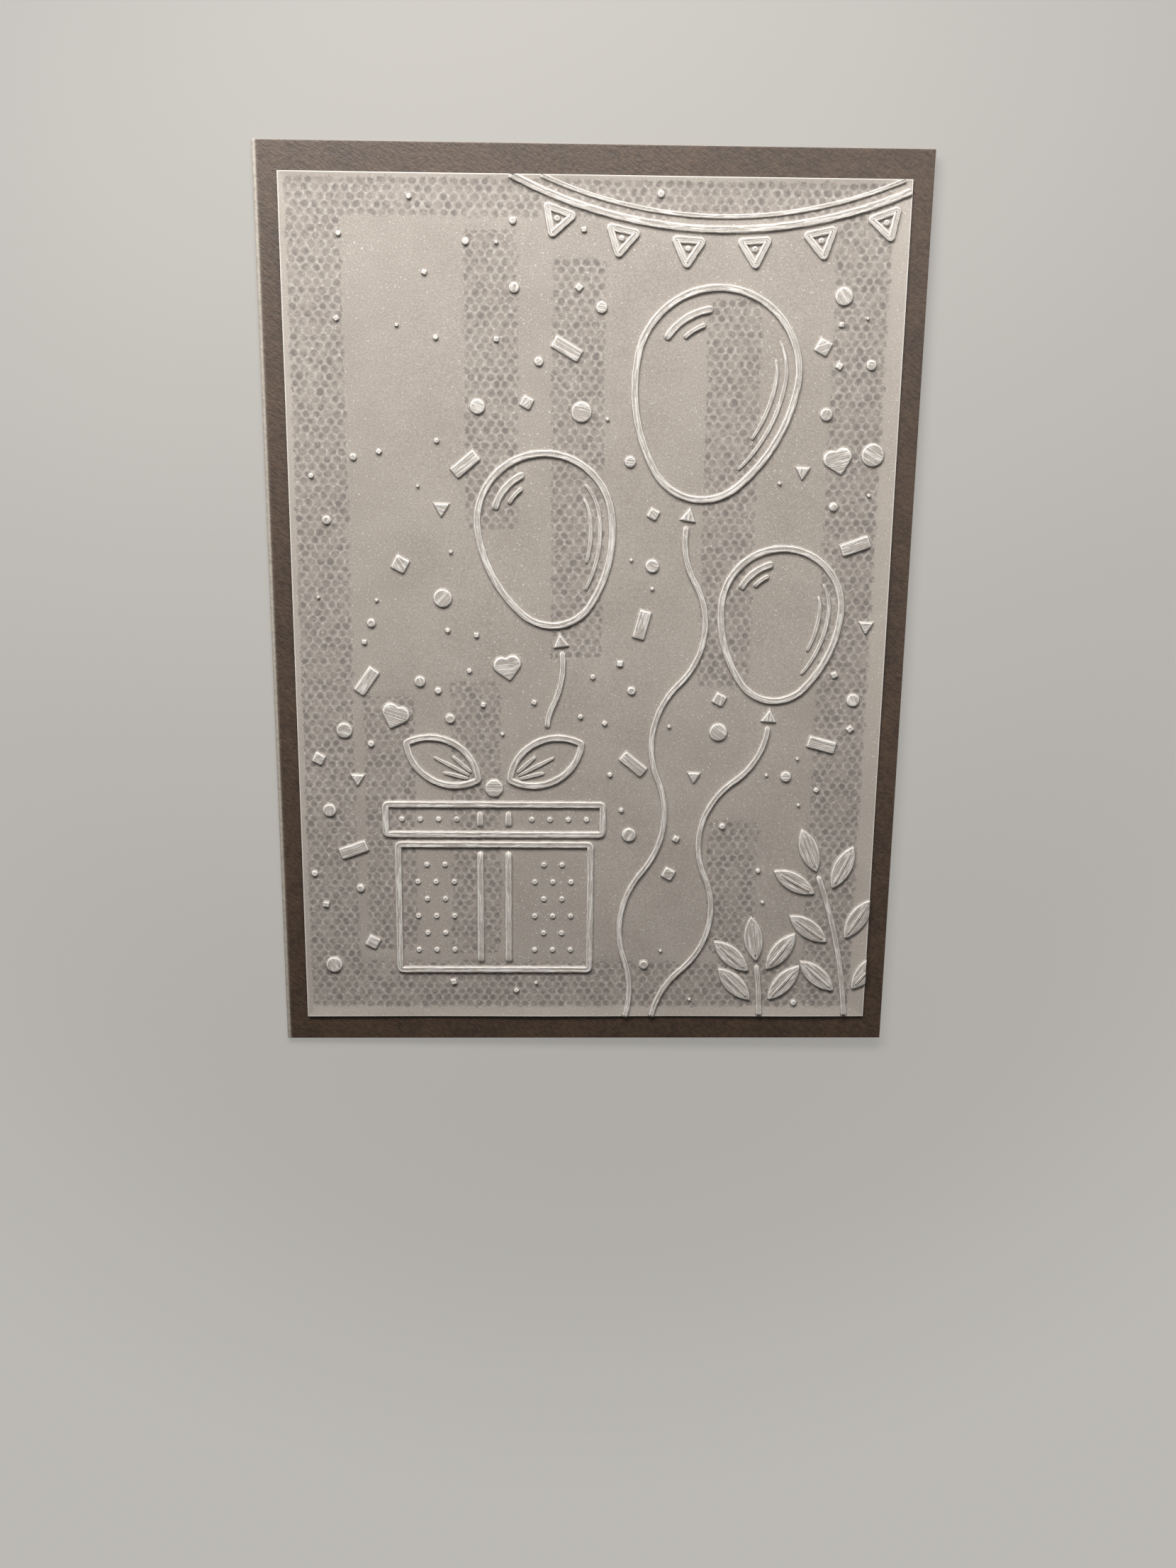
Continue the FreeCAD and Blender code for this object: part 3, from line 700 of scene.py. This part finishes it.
def balloon_loop(centre, radius, turn, inset):
    """A balloon's outline, drawn in by the inset."""
    foot = centre + toward(turn - math.pi / 2, (2 - FOOT_SHARE) * radius * math.sin(FLANK_TURN))
    side = toward(turn, radius)
    half = math.pi
    return even(np.concatenate([
        arc(centre, radius - inset, turn, turn + half)[:-1],
        arc(centre + side, 2 * radius - inset, turn + half, turn + half + FLANK_TURN)[:-1],
        arc(foot, FOOT_SHARE * radius - inset, turn + half + FLANK_TURN,
            turn + 2 * half - FLANK_TURN)[:-1],
        arc(centre - side, 2 * radius - inset, turn - FLANK_TURN, turn)[:-1],
    ]), True)


def on_sheet(path, spare=0.0):
    """Which points lie on the panel, or further in than the spare."""
    x, y = path[..., 0], path[..., 1]
    return (x > spare) & (x < PANEL_WIDTH - spare) & (y > spare) & (y < PANEL_HEIGHT - spare)


def trimmed(flat):
    """The same points, none of them past the panel's cut edge."""
    return np.clip(flat, TRIM, np.array([PANEL_WIDTH, PANEL_HEIGHT]) - TRIM)


# Pressed forms: how far inside the panel's edge they are cut off, how much of a line is left at its
# end, and over what share of its width the end is rounded
TRIM = 0.03
END_LEFT = 0.08
END_ROUND = 0.6

# The section of a drawn line, as shares of half its width and of the relief
SECTION_ACROSS = np.array([1.30, 1.08, 0.98, 0.88, 0.76, 0.56, 0.28])
SECTION_HEIGHT = np.array([-0.12, 0.02, 0.12, 0.58, 0.93, 1.0, 0.90])
SECTION_ACROSS = np.concatenate([-SECTION_ACROSS, [0.0], SECTION_ACROSS[::-1]])
SECTION_HEIGHT = np.concatenate([SECTION_HEIGHT, [0.86], SECTION_HEIGHT[::-1]])

# The wall of a flat field: how many steps in each ring lies, its share of the relief and its rim
# value. Then the rings of its top: how far out each lies, and the same two values
WALL_STEP = 0.3
WALL = [(-0.65, -0.12, 1.30), (-0.2, 0.02, 1.08), (0.05, 0.12, 0.98), (0.35, 0.58, 0.88),
        (0.7, 0.93, 0.76), (1.2, 1.0, 0.56)]
TOP = [(0.66, 0.97, 0.3), (0.33, 0.95, 0.12)]

# The steps round a dot and round other small fields, and points along every form so far, from which
# the specks keep clear
ROUND_STEP = 0.25
FIELD_STEP = 0.2
TAKEN = []


class Relief:
    """Collects pressed forms that make one piece."""

    def __init__(self):
        self.points, self.faces, self.places, self.rims, self.count = [], [], [], [], 0

    def take(self, points, faces, places, rim):
        """Adds one form's mesh."""
        self.points.append(points)
        self.faces += [[number + self.count for number in face] for face in faces]
        self.places.append(places)
        self.rims.append(rim)
        self.count += len(points)

    def line(self, path, width=LINE, closed=False, relief=RELIEF, taper=0.0):
        """A section carried along a path: each point is the path's point, plus the share across times
        half the width along the path's left normal, lifted by the section's height. Sines of the way
        along it make both uneven. Open ends are rounded off by a quarter circle, and a taper narrows
        the line towards them by the sine of the way along it. What runs off the sheet is trimmed."""
        if closed:
            ahead = np.roll(path, -1, axis=0) - np.roll(path, 1, axis=0)
        else:
            path = path[on_sheet(path)]
            ahead = np.gradient(path, axis=0)
        ahead /= np.linalg.norm(ahead, axis=1, keepdims=True)
        left = np.stack([-ahead[:, 1], ahead[:, 0]], axis=-1)
        steps = np.linalg.norm(np.roll(path, -1, axis=0) - path, axis=1)
        far = np.concatenate([[0], np.cumsum(steps)])
        run = far[:-1]
        ease = np.ones(len(path))
        if not closed:
            whole = on_sheet(path[[0, -1]], 2 * STEP)
            head = np.where(whole[0], run, width)
            tail = np.where(whole[1], run[-1] - run, width)
            near = np.clip(np.minimum(head, tail) / (END_ROUND * width), 0, 1)
            ease = END_LEFT + (1 - END_LEFT) * np.sqrt(1 - (1 - near) ** 2)
        wobble = 0.035 * np.sin(run * 1.9) + 0.025 * np.sin(run * 4.7 + 1)
        narrow = 1 - taper + taper * np.clip(np.sin(math.pi * run / run[-1]), 0, 1) ** 0.6
        half = width / 2 * (1 + wobble) * narrow
        aside = np.outer(half * ease, SECTION_ACROSS)
        flat = trimmed(path[:, None, :] + aside[:, :, None] * left[:, None, :])
        swell = relief * (1 + 0.05 * np.sin(run * 0.8)) * (0.3 + 0.7 * ease)
        high = np.outer(swell * ease, SECTION_HEIGHT)
        high = np.where(SECTION_HEIGHT > 0, high, relief * SECTION_HEIGHT)
        TAKEN.append(path[::3])
        lift = sheet_height(flat[..., 0], flat[..., 1]) + high
        points = laid(flat[..., 0], flat[..., 1], lift)
        sections, ring = points.shape[:2]
        number = np.arange(sections * ring).reshape(sections, ring)
        if closed:
            number = np.concatenate([number, number[:1]])
            run = far
        number = np.concatenate([number, number[:, :1]], axis=1)
        across = np.concatenate([SECTION_ACROSS, [SECTION_ACROSS[-1]]]) * width / 2
        shape = (len(run), ring + 1)
        place = np.stack([np.broadcast_to(run[:, None], shape), np.broadcast_to(across, shape)], axis=-1)
        faces, places = cells(number).reshape(-1, 4).tolist(), [cells(place).reshape(-1, 2)]
        if not closed:
            first, last = number[0, :-1].tolist(), number[-1, -2::-1].tolist()
            faces += [first, last]
            places.append(np.zeros((2 * ring, 2)))
        rim = np.broadcast_to(np.abs(SECTION_ACROSS), (sections, ring)).ravel()
        self.take(points.reshape(-1, 3), faces, np.concatenate(places), rim)

    def plateau(self, outline, reach, turn=0.0, relief=RELIEF, vein=0.0):
        """A flat-topped form of rings: each is the outline drawn in towards the middle, by a distance
        over the reach, half the form's length and width along the turn, and lifted by its height. A
        point closes the middle, and vein sinks it."""
        middle = outline.mean(axis=0)
        TAKEN.append(outline[::2])
        axes = np.stack([toward(turn), toward(turn + math.pi / 2)], axis=-1)
        away = (outline - middle) @ axes
        run = min(WALL_STEP, 0.45 * min(reach))
        flats = [middle + away * (1 - run * step / np.array(reach)) @ axes.T for step, high, rim in WALL]
        flats += [middle + (flats[-1] - middle) * share for share, high, rim in TOP]
        highs, rims = zip(*(values for step, *values in WALL + TOP))
        sunk = TOP[-1][1] - vein
        count = len(outline)
        flat = trimmed(np.concatenate(flats + [middle[None]]))
        high = np.concatenate([np.repeat(highs[:-1] + (sunk,), count), [sunk]])
        rim = np.concatenate([np.repeat(rims, count), [0.0]])
        points = laid(flat[:, 0], flat[:, 1], sheet_height(flat[:, 0], flat[:, 1]) + relief * high)
        number = np.arange(len(flats) * count).reshape(len(flats), count)
        after = np.roll(number, -1, axis=1)
        quads = np.stack([number[:-1], after[:-1], after[1:], number[1:]], axis=-1).reshape(-1, 4)
        fan = np.stack([number[-1], after[-1], np.full(count, number.size)], axis=-1)
        under = number[0, ::-1]
        place = (flat - middle) @ axes + middle
        places = np.concatenate([place[quads].reshape(-1, 2), place[fan].reshape(-1, 2), place[under]])
        self.take(points, quads.tolist() + fan.tolist() + [under.tolist()], places, rim)

    def dot(self, centre, radius, turn=0.0, relief=RELIEF):
        """A round flat-topped form."""
        outline = even(arc(centre, radius, 0, 2 * math.pi)[:-1], True, ROUND_STEP)
        self.plateau(outline, (radius,) * 2, turn, relief)

    def regular(self, centre, radius, sides, turn, reach, way=0.0, passes=2):
        """A flat-topped form with this many softened corners."""
        outline = polygon(regular_corners(centre, radius, sides, turn), FIELD_STEP, passes)
        self.plateau(outline, (reach,) * 2, way)

    def piece(self, name, material):
        """All forms so far as one mesh object."""
        points, places, rims = (np.concatenate(part) for part in (self.points, self.places, self.rims))
        make_piece(name, points, self.faces, places, material, "vellum_panel", rims)


# Balloons: middle, radius, turn in degrees and the string's bends
WAVE = 15.0
BALLOONS = [
    (spot(68.3, 110.0), 13.5, -10,
     [(0.93, 40), (0.93, -75), (1.0, 68), (1.07, -62), (1.13, 58), (1.2, -50)]),
    (spot(41.0, 86.3), 11.5, 8, [(1.07, -34), (0.6, 26)]),
    (spot(80.0, 72.4), 10.5, -4, [(0.87, -50), (0.93, 78), (1.0, -72), (1.07, 50)]),
]
KNOT = 1.7

# Gleams: share of the radius, first angle, sweep and width. Then the fine lines along the right flank
# and brow: how far in they run, and over what share of the flank's turn
GLEAMS = ((0.72, 105, 55, LINE), (0.56, 115, 32, FINE_LINE))
FLANK_LINES = ((2.6, 0.9), (4.1, 0.6))


def draw_balloons(form):
    """The three balloons: outlines, gleams on the left, fine lines along the right flank and brow,
    knots and strings."""
    for centre, radius, degrees, string in BALLOONS:
        turn = math.radians(degrees)
        down = turn - math.pi / 2
        form.line(balloon_loop(centre, radius, turn, LINE / 2), closed=True)
        for gleam, first, sweep, width in GLEAMS:
            start = centre + toward(turn + math.radians(first), gleam * radius)
            form.line(chain(start, turn + math.radians(first + 90), [(gleam * radius, sweep)]), width)
        for inset, share in FLANK_LINES:
            sweep = share * FLANK_TURN
            flank = arc(centre - toward(turn, radius), 2 * radius - inset, turn - sweep, turn)
            brow = arc(centre, radius - inset, turn, turn + sweep)
            form.line(even(np.concatenate([flank, brow[1:]])), FINE_LINE, relief=FINE_RELIEF, taper=0.5)
        foot = centre + toward(down, radius * ((2 - FOOT_SHARE) * math.sin(FLANK_TURN) + FOOT_SHARE))
        knot = foot + toward(down, LINE_GAP + KNOT)
        form.regular(knot, KNOT, 3, turn + math.pi / 2, KNOT / 2, down)
        bends = [(share * WAVE, angle) for share, angle in string]
        form.line(chain(knot + toward(down, KNOT / 2 + LINE_GAP), down, bends), STRING)


# The wrapped box: its middle and size, its lid, its ribbon, its bow with each loop's creases, and the
# dots of its paper
GIFT = spot(32.7, 20.2)
GIFT_WIDTH = 34.0
GIFT_HEIGHT = 24.0
LID_HEIGHT = 6.5
LID_OVERHANG = 2.0
RIBBON_BAND = 6.0
BOW_LENGTH = 15.0
BOW_WIDTH = 8.5
BOW_LIFT = math.radians(28)
CREASE_TURNS = (-14, 0, 14)
CREASE_START = 2.2
PAPER_PITCH = 3.1
PAPER_DOT = 0.55


def paper_dots(form, centre, width, height):
    """Staggered rows of dots on both sides of the ribbon."""
    inner, outer = RIBBON_BAND / 2 + LINE, width / 2 - LINE
    rows, columns = int((height - 2 * LINE) / PAPER_PITCH), int((outer - inner) / PAPER_PITCH)
    for side in (-1, 1):
        for row in range(rows):
            for column in range(columns - row % 2):
                across = (inner + outer) / 2 + (column + 0.5 * (1 - columns + row % 2)) * PAPER_PITCH
                step = spot(side * across, (row + 0.5 * (1 - rows)) * PAPER_PITCH)
                form.dot(centre + step, PAPER_DOT, relief=FINE_RELIEF)


def draw_gift(form):
    """Box and lid drawn as lines, their dotted paper, the ribbon band's two edges, the knot, and the
    bow's two loops with three creases in each."""
    lid = GIFT + spot(0, (GIFT_HEIGHT + LID_HEIGHT) / 2 + LINE_GAP)
    root = lid + spot(0, LID_HEIGHT / 2 + LINE_GAP + KNOT)
    lid_width = GIFT_WIDTH + 2 * LID_OVERHANG
    for centre, width, height in ((GIFT, GIFT_WIDTH, GIFT_HEIGHT), (lid, lid_width, LID_HEIGHT)):
        form.line(polygon(bar_corners(centre, width - LINE, height - LINE, 0), STEP, 2), closed=True)
        paper_dots(form, centre, width, height)
        for side in (-1, 1):
            edge = centre + spot(side * (RIBBON_BAND - LINE) / 2, 0)
            tall = height / 2 - LINE - LINE_GAP
            form.line(straight(edge - spot(0, tall), edge + spot(0, tall)))
    form.regular(root, KNOT, 8, math.pi / 8, 0.92 * KNOT, passes=3)
    for heading in (BOW_LIFT, math.pi - BOW_LIFT):
        base = root + toward(heading, KNOT + LINE_GAP)
        form.line(leaf_loop(base, heading, BOW_LENGTH, BOW_WIDTH, LINE / 2), closed=True)
        for aside in CREASE_TURNS:
            way = heading + math.radians(aside)
            reach = BOW_LENGTH * (0.62 - 0.012 * abs(aside))
            crease = straight(base + toward(way, CREASE_START), base + toward(way, reach))
            form.line(crease, FINE_LINE, relief=FINE_RELIEF, taper=0.6)


# Bunting: the lowest point of its swag, the swag's radius and half its turn, how far in its second
# line runs, and the side of a pennant
SWAG = spot(68.3, 131.5)
SWAG_RADIUS = 74.0
SWAG_HALF_TURN = math.radians(29)
SECOND_LINE = 1.9
PENNANT = 6.4
PENNANT_STEPS = (-2.5, -1.5, -0.5, 0.5, 1.5, 2.5)


def draw_bunting(form):
    """A sagging line with a finer one above it and six pennants below, each with a dot in its middle,
    trimmed where it leaves the sheet."""
    centre = SWAG + spot(0, SWAG_RADIUS)
    path = arc(centre, SWAG_RADIUS, -math.pi / 2 - SWAG_HALF_TURN, -math.pi / 2 + SWAG_HALF_TURN)
    form.line(even(path))
    second = even(centre + (path - centre) * (1 - SECOND_LINE / SWAG_RADIUS))
    form.line(second, FINE_LINE, relief=FINE_RELIEF)
    hang = SWAG_RADIUS + LINE / 2 + LINE_GAP + PENNANT / (2 * math.sqrt(3))
    for step in PENNANT_STEPS:
        angle = -math.pi / 2 + step * (PENNANT + 3 * LINE) / SWAG_RADIUS
        middle = centre + toward(angle, hang)
        corners = regular_corners(middle, PENNANT / math.sqrt(3) - LINE, 3, angle)
        form.line(polygon(corners), closed=True)
        form.dot(middle, PAPER_DOT)


# Sprigs: root, heading, stem radius, its turn, and pairs of leaves
SPRIGS = [(spot(94.2, -1.4), 93, 90, 18, 3), (spot(79.1, -1.4), 90, 80, 8, 2)]
LEAF_LENGTH = 8.5
LEAF_WIDTH = 3.4
LEAN = math.radians(42)

# How deep a leaf's middle sinks, and the width and height of the rib along it
LEAF_SINKS = 0.22
RIB_LINE = 0.45
RIB_RELIEF = 1.3 * RELIEF


def draw_sprigs(form):
    """Bent stems with pairs of leaves that point forwards and one at the tip, each with a rib."""
    for root, degrees, radius, bend, pairs in SPRIGS:
        heading, turn = math.radians(degrees), math.radians(bend)
        first = heading - math.pi / 2
        centre = root - toward(first, radius)
        form.line(even(arc(centre, radius, first, first + turn)), STRING)
        start = (STRING / 2 + LINE_GAP) / math.sin(LEAN) + LINE_GAP
        leaves = [((pair + 0.5) / pairs, side * LEAN, start)
                  for pair in range(pairs) for side in (-1, 1)]
        for share, aside, off in leaves + [(1, 0, LINE_GAP)]:
            way = heading + turn * share + aside
            base = centre + toward(first + turn * share, radius) + toward(way, off)
            outline = leaf_loop(base, way, LEAF_LENGTH, LEAF_WIDTH)
            form.plateau(outline, (LEAF_LENGTH / 2, LEAF_WIDTH / 2), way, vein=LEAF_SINKS)
            rib = straight(base + toward(way, 0.9), base + toward(way, LEAF_LENGTH - 1.1))
            form.line(rib, RIB_LINE, relief=RIB_RELIEF, taper=0.5)


# Confetti: places, then a radius or a turn in degrees
DOTS = [
    (7.8, 51.5, 1.4), (20.5, 59.9, 1.0), (12.7, 69.6, 0.8), (24.4, 73.8, 1.6), (5.9, 86.3, 0.8),
    (30.3, 104.4, 1.3), (40.0, 111.4, 0.8), (46.8, 103.7, 1.7), (49.8, 119.7, 1.0), (36.1, 122.5, 0.9),
    (87.8, 121.8, 1.5), (92.7, 111.4, 0.9), (85.9, 103.7, 1.1), (93.7, 97.4, 1.9), (87.8, 89.1, 0.8),
    (58.6, 79.3, 1.2), (55.6, 58.5, 0.8), (92.7, 57.1, 1.2), (70.3, 51.5, 1.6), (55.6, 33.4, 1.3),
    (58.6, 9.7, 0.9), (82.0, 43.8, 1.0), (4.9, 37.6, 1.2), (9.8, 23.7, 0.8), (4.9, 9.7, 1.5),
    (25.4, 53.6, 0.9), (54.7, 96.0, 1.0),
]
BARS = [
    (11.7, 59.9, 55), (44.4, 113.4, -30), (91.7, 82.8, 20), (57.1, 69.6, 75), (56.1, 45.9, -40),
    (8.8, 30.6, 20), (87.8, 49.4, -15), (28.3, 95.4, 40),
]
DIAMONDS = [
    (17.6, 79.3, 1.8), (38.1, 105.1, 1.4), (84.9, 114.1, 1.7), (58.6, 87.7, 1.3), (70.3, 57.1, 1.5),
    (3.4, 46.6, 1.4), (62.5, 26.4, 1.5), (11.7, 13.9, 1.6),
]
TRIANGLES = [
    (24.4, 88.4, 1.7), (82.5, 94.7, 1.6), (66.4, 43.8, 1.5), (9.8, 43.2, 1.6), (94.2, 69.6, 1.6),
]
HEARTS = [(16.1, 53.6, -20), (88.3, 96.0, 15), (35.1, 61.9, 10)]
BAR_LENGTH = 5.0
BAR_WIDTH = 2.2
HEART_SIDE = 2.9


def heart_loop(centre, turn):
    """A square on its corner with a half circle on each upper side."""
    lobe = HEART_SIDE / 2
    up = toward(turn + math.pi / 2, lobe / math.sqrt(2))
    aside = toward(turn, lobe / math.sqrt(2))
    tip = centre - toward(turn + math.pi / 2, HEART_SIDE / math.sqrt(2))
    right = arc(centre + up + aside, lobe, turn - math.pi / 4, turn + 0.75 * math.pi)
    left = arc(centre + up - aside, lobe, turn + 0.25 * math.pi, turn + 1.25 * math.pi)
    return softened(even(np.concatenate([right, left, tip[None]]), True, STEP / 2), 2)


def draw_confetti(form):
    """Scattered dots, bars, diamonds, triangles and hearts."""
    for x, y, radius in DOTS:
        form.dot(spot(x, y), radius, x + y)
    for x, y, degrees in BARS:
        turn = math.radians(degrees)
        outline = polygon(bar_corners(spot(x, y), BAR_LENGTH, BAR_WIDTH, turn), FIELD_STEP, 2)
        form.plateau(outline, (BAR_LENGTH / 2, BAR_WIDTH / 2), turn)
    for sides, turn, places in ((4, 0.3, DIAMONDS), (3, 0.5, TRIANGLES)):
        for x, y, radius in places:
            form.regular(spot(x, y), radius, sides, turn, radius * math.cos(math.pi / sides), turn + x)
    for x, y, degrees in HEARTS:
        turn = math.radians(degrees)
        form.plateau(heart_loop(spot(x, y), turn), (0.55 * HEART_SIDE,) * 2, turn)


# Specks: how many places are tried, the seed that draws them, how much room each needs, and how far
# it keeps from the sheet's edge. Their radius takes one of three sizes.
SPECK_TRIES = 260
SPECK_SEED = 5
SPECK_ROOM = 2.3
SPECK_MARGIN = 2.0
SPECK_RADIUS = 0.34
SPECK_STEP = 0.16


def draw_specks(form):
    """Small domes and diamonds scattered over the free ground: each of many random places is kept if
    no form, balloon or box comes near it."""
    taken = np.concatenate(TAKEN)
    places = np.random.default_rng(SPECK_SEED).random((SPECK_TRIES, 2)) * (PANEL_WIDTH, PANEL_HEIGHT)
    box_middle, box_size = GIFT + spot(0, 6), spot(GIFT_WIDTH, GIFT_HEIGHT + 2 * LID_HEIGHT)
    for number, place in enumerate(places):
        room = np.linalg.norm(taken - place, axis=1).min()
        away = min(np.linalg.norm(place - centre) - 1.3 * radius for centre, radius, *_ in BALLOONS)
        off_box = (np.abs(place - box_middle) - box_size / 2).max()
        if room < SPECK_ROOM or away < 0 or off_box < 0 or not on_sheet(place, SPECK_MARGIN):
            continue
        taken = np.concatenate([taken, place[None] + 1.5 * toward(np.linspace(0, 2 * math.pi, 9))])
        radius = SPECK_RADIUS + SPECK_STEP * (number % 3)
        outline = arc(place, radius, 0, 2 * math.pi)[:-1]
        if number % 2:
            outline = regular_corners(place, 1.25 * radius, 4, number)
        form.plateau(polygon(outline, FIELD_STEP, 1), (radius,) * 2, number)


def build_card():
    """Both sheets, the pressed forms, and the glue strips' finish."""
    lines = pressed_finish("pressed vellum lines", LINE_FILL)
    fields = pressed_finish("pressed vellum fields", FIELD_FILL)
    specks = pressed_finish("pressed vellum specks", SPECK_FILL)
    card_sheet()
    vellum_sheet()
    for name, draw, material in (
            ("balloon_relief", draw_balloons, lines), ("gift_relief", draw_gift, lines),
            ("bunting_relief", draw_bunting, lines), ("sprig_relief", draw_sprigs, fields),
            ("confetti_relief", draw_confetti, fields), ("speck_relief", draw_specks, specks)):
        form = Relief()
        draw(form)
        form.piece(name, material)
    glue = glue_finish()
    for name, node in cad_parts.items():
        if name.startswith("adhesive"):
            node.data.materials.clear()
            node.data.materials.append(glue)


# The stage, in metres: the floor's reach, how far under the card it lies, and the distances between
# which it passes into one even tone
FLOOR_COLOUR = (0.46, 0.445, 0.42, 1.0)
GROUND_COLOUR = (0.50, 0.485, 0.46, 1.0)
FLOOR_REACH = 3.0
FLOOR_UNDER = 0.00002
EVEN_FROM = 0.07
EVEN_BY = 0.18
FILL_COLOUR = (1.0, 0.97, 0.94, 1.0)
FILL_LIGHT = 0.05


def build_floor():
    """A pale floor that takes the card's shadow and, further off, shows one even tone."""
    mesh = bpy.data.meshes.new("floor")
    corners = [(x * FLOOR_REACH, y * FLOOR_REACH, -FLOOR_UNDER)
               for x, y in ((-1, -1), (1, -1), (1, 1), (-1, 1))]
    mesh.from_pydata(corners, [], [(0, 1, 2, 3)])
    material, tree, shader = finish("floor", Roughness=0.8, Base_Color=FLOOR_COLOUR)
    out = tree.nodes["Material Output"]
    place = add(tree, "ShaderNodeTexCoord").outputs["Object"]
    far = ramp(tree, vector_maths(tree, "LENGTH", place, output=1), EVEN_FROM, EVEN_BY, 0.6, 1.0)
    seen = times(tree, add(tree, "ShaderNodeLightPath").outputs["Is Camera Ray"], far)
    even_ground = add(tree, "ShaderNodeEmission", {"Color": GROUND_COLOUR, "Strength": 1.0}).outputs[0]
    both = add(tree, "ShaderNodeMixShader", {0: seen, 1: shader.outputs[0], 2: even_ground})
    tree.links.new(both.outputs[0], out.inputs["Surface"])
    mesh.materials.append(material)
    floor = put_in("floor", mesh)


def build_world():
    """Even fill light, and a pale surround wherever the camera or a transmission ray sees past the floor.
    """
    world = bpy.data.worlds.new("studio")
    bpy.context.scene.world = world
    world.use_nodes = True
    tree = world.node_tree
    tree.nodes.clear()
    rays = add(tree, "ShaderNodeLightPath").outputs
    seen = maths(tree, "MAXIMUM", rays["Is Camera Ray"], rays["Is Transmission Ray"])
    fill = add(tree, "ShaderNodeBackground", {"Color": FILL_COLOUR, "Strength": FILL_LIGHT})
    around = add(tree, "ShaderNodeBackground", {"Color": GROUND_COLOUR, "Strength": 1.0})
    both = add(tree, "ShaderNodeMixShader", {0: seen, 1: fill.outputs[0], 2: around.outputs[0]})
    out = add(tree, "ShaderNodeOutputWorld")
    tree.links.new(both.outputs[0], out.inputs[0])


# Lamps: name, place, what they face, width and height, and power
LAMPS = [
    ("key", (-0.055, 0.262, 0.185), (0.0, 0.12, 0.0), (0.42, 0.12), 2.08),
    ("fill", (0.20, 0.12, 0.30), (0.0, 0.03, 0.0), (0.25, 0.25), 0.22),
]
LAMP_COLOUR = (1.0, 0.98, 0.95)


def build_lamp(name, place, target, size, power):
    """A soft lamp, as wide and as high as its size says, that faces the target."""
    light = bpy.data.lights.new(name, "AREA")
    light.shape = "ELLIPSE"
    light.size, light.size_y = size
    light.energy = power
    light.color = LAMP_COLOUR
    lamp = put_in(name, light, place)
    aim = np.array(target) - np.array(place)
    tilt, turn = math.acos(-aim[2] / np.linalg.norm(aim)), math.atan2(aim[1], aim[0]) - math.pi / 2
    lamp.rotation_euler = (tilt, 0, turn)


# The camera's place and turn, as the photograph's perspective gives them for a card of this size
CAMERA_PLACE = (-0.01029, 0.04643, 0.26748)
CAMERA_TURN = (-15.518, -2.0, 0.65)
CAMERA_LENS = 37.51


def build_camera():
    """The camera that the picture is taken with."""
    camera = put_in("camera", bpy.data.cameras.new("camera"), CAMERA_PLACE)
    camera.rotation_euler = Euler([math.radians(turn) for turn in CAMERA_TURN])
    camera.data.lens = CAMERA_LENS
    camera.data.clip_start = 0.01
    bpy.context.scene.camera = camera


build_card()
build_floor()
build_world()
for lamp in LAMPS:
    build_lamp(*lamp)
build_camera()
bpy.context.scene.view_settings.view_transform = "Standard"
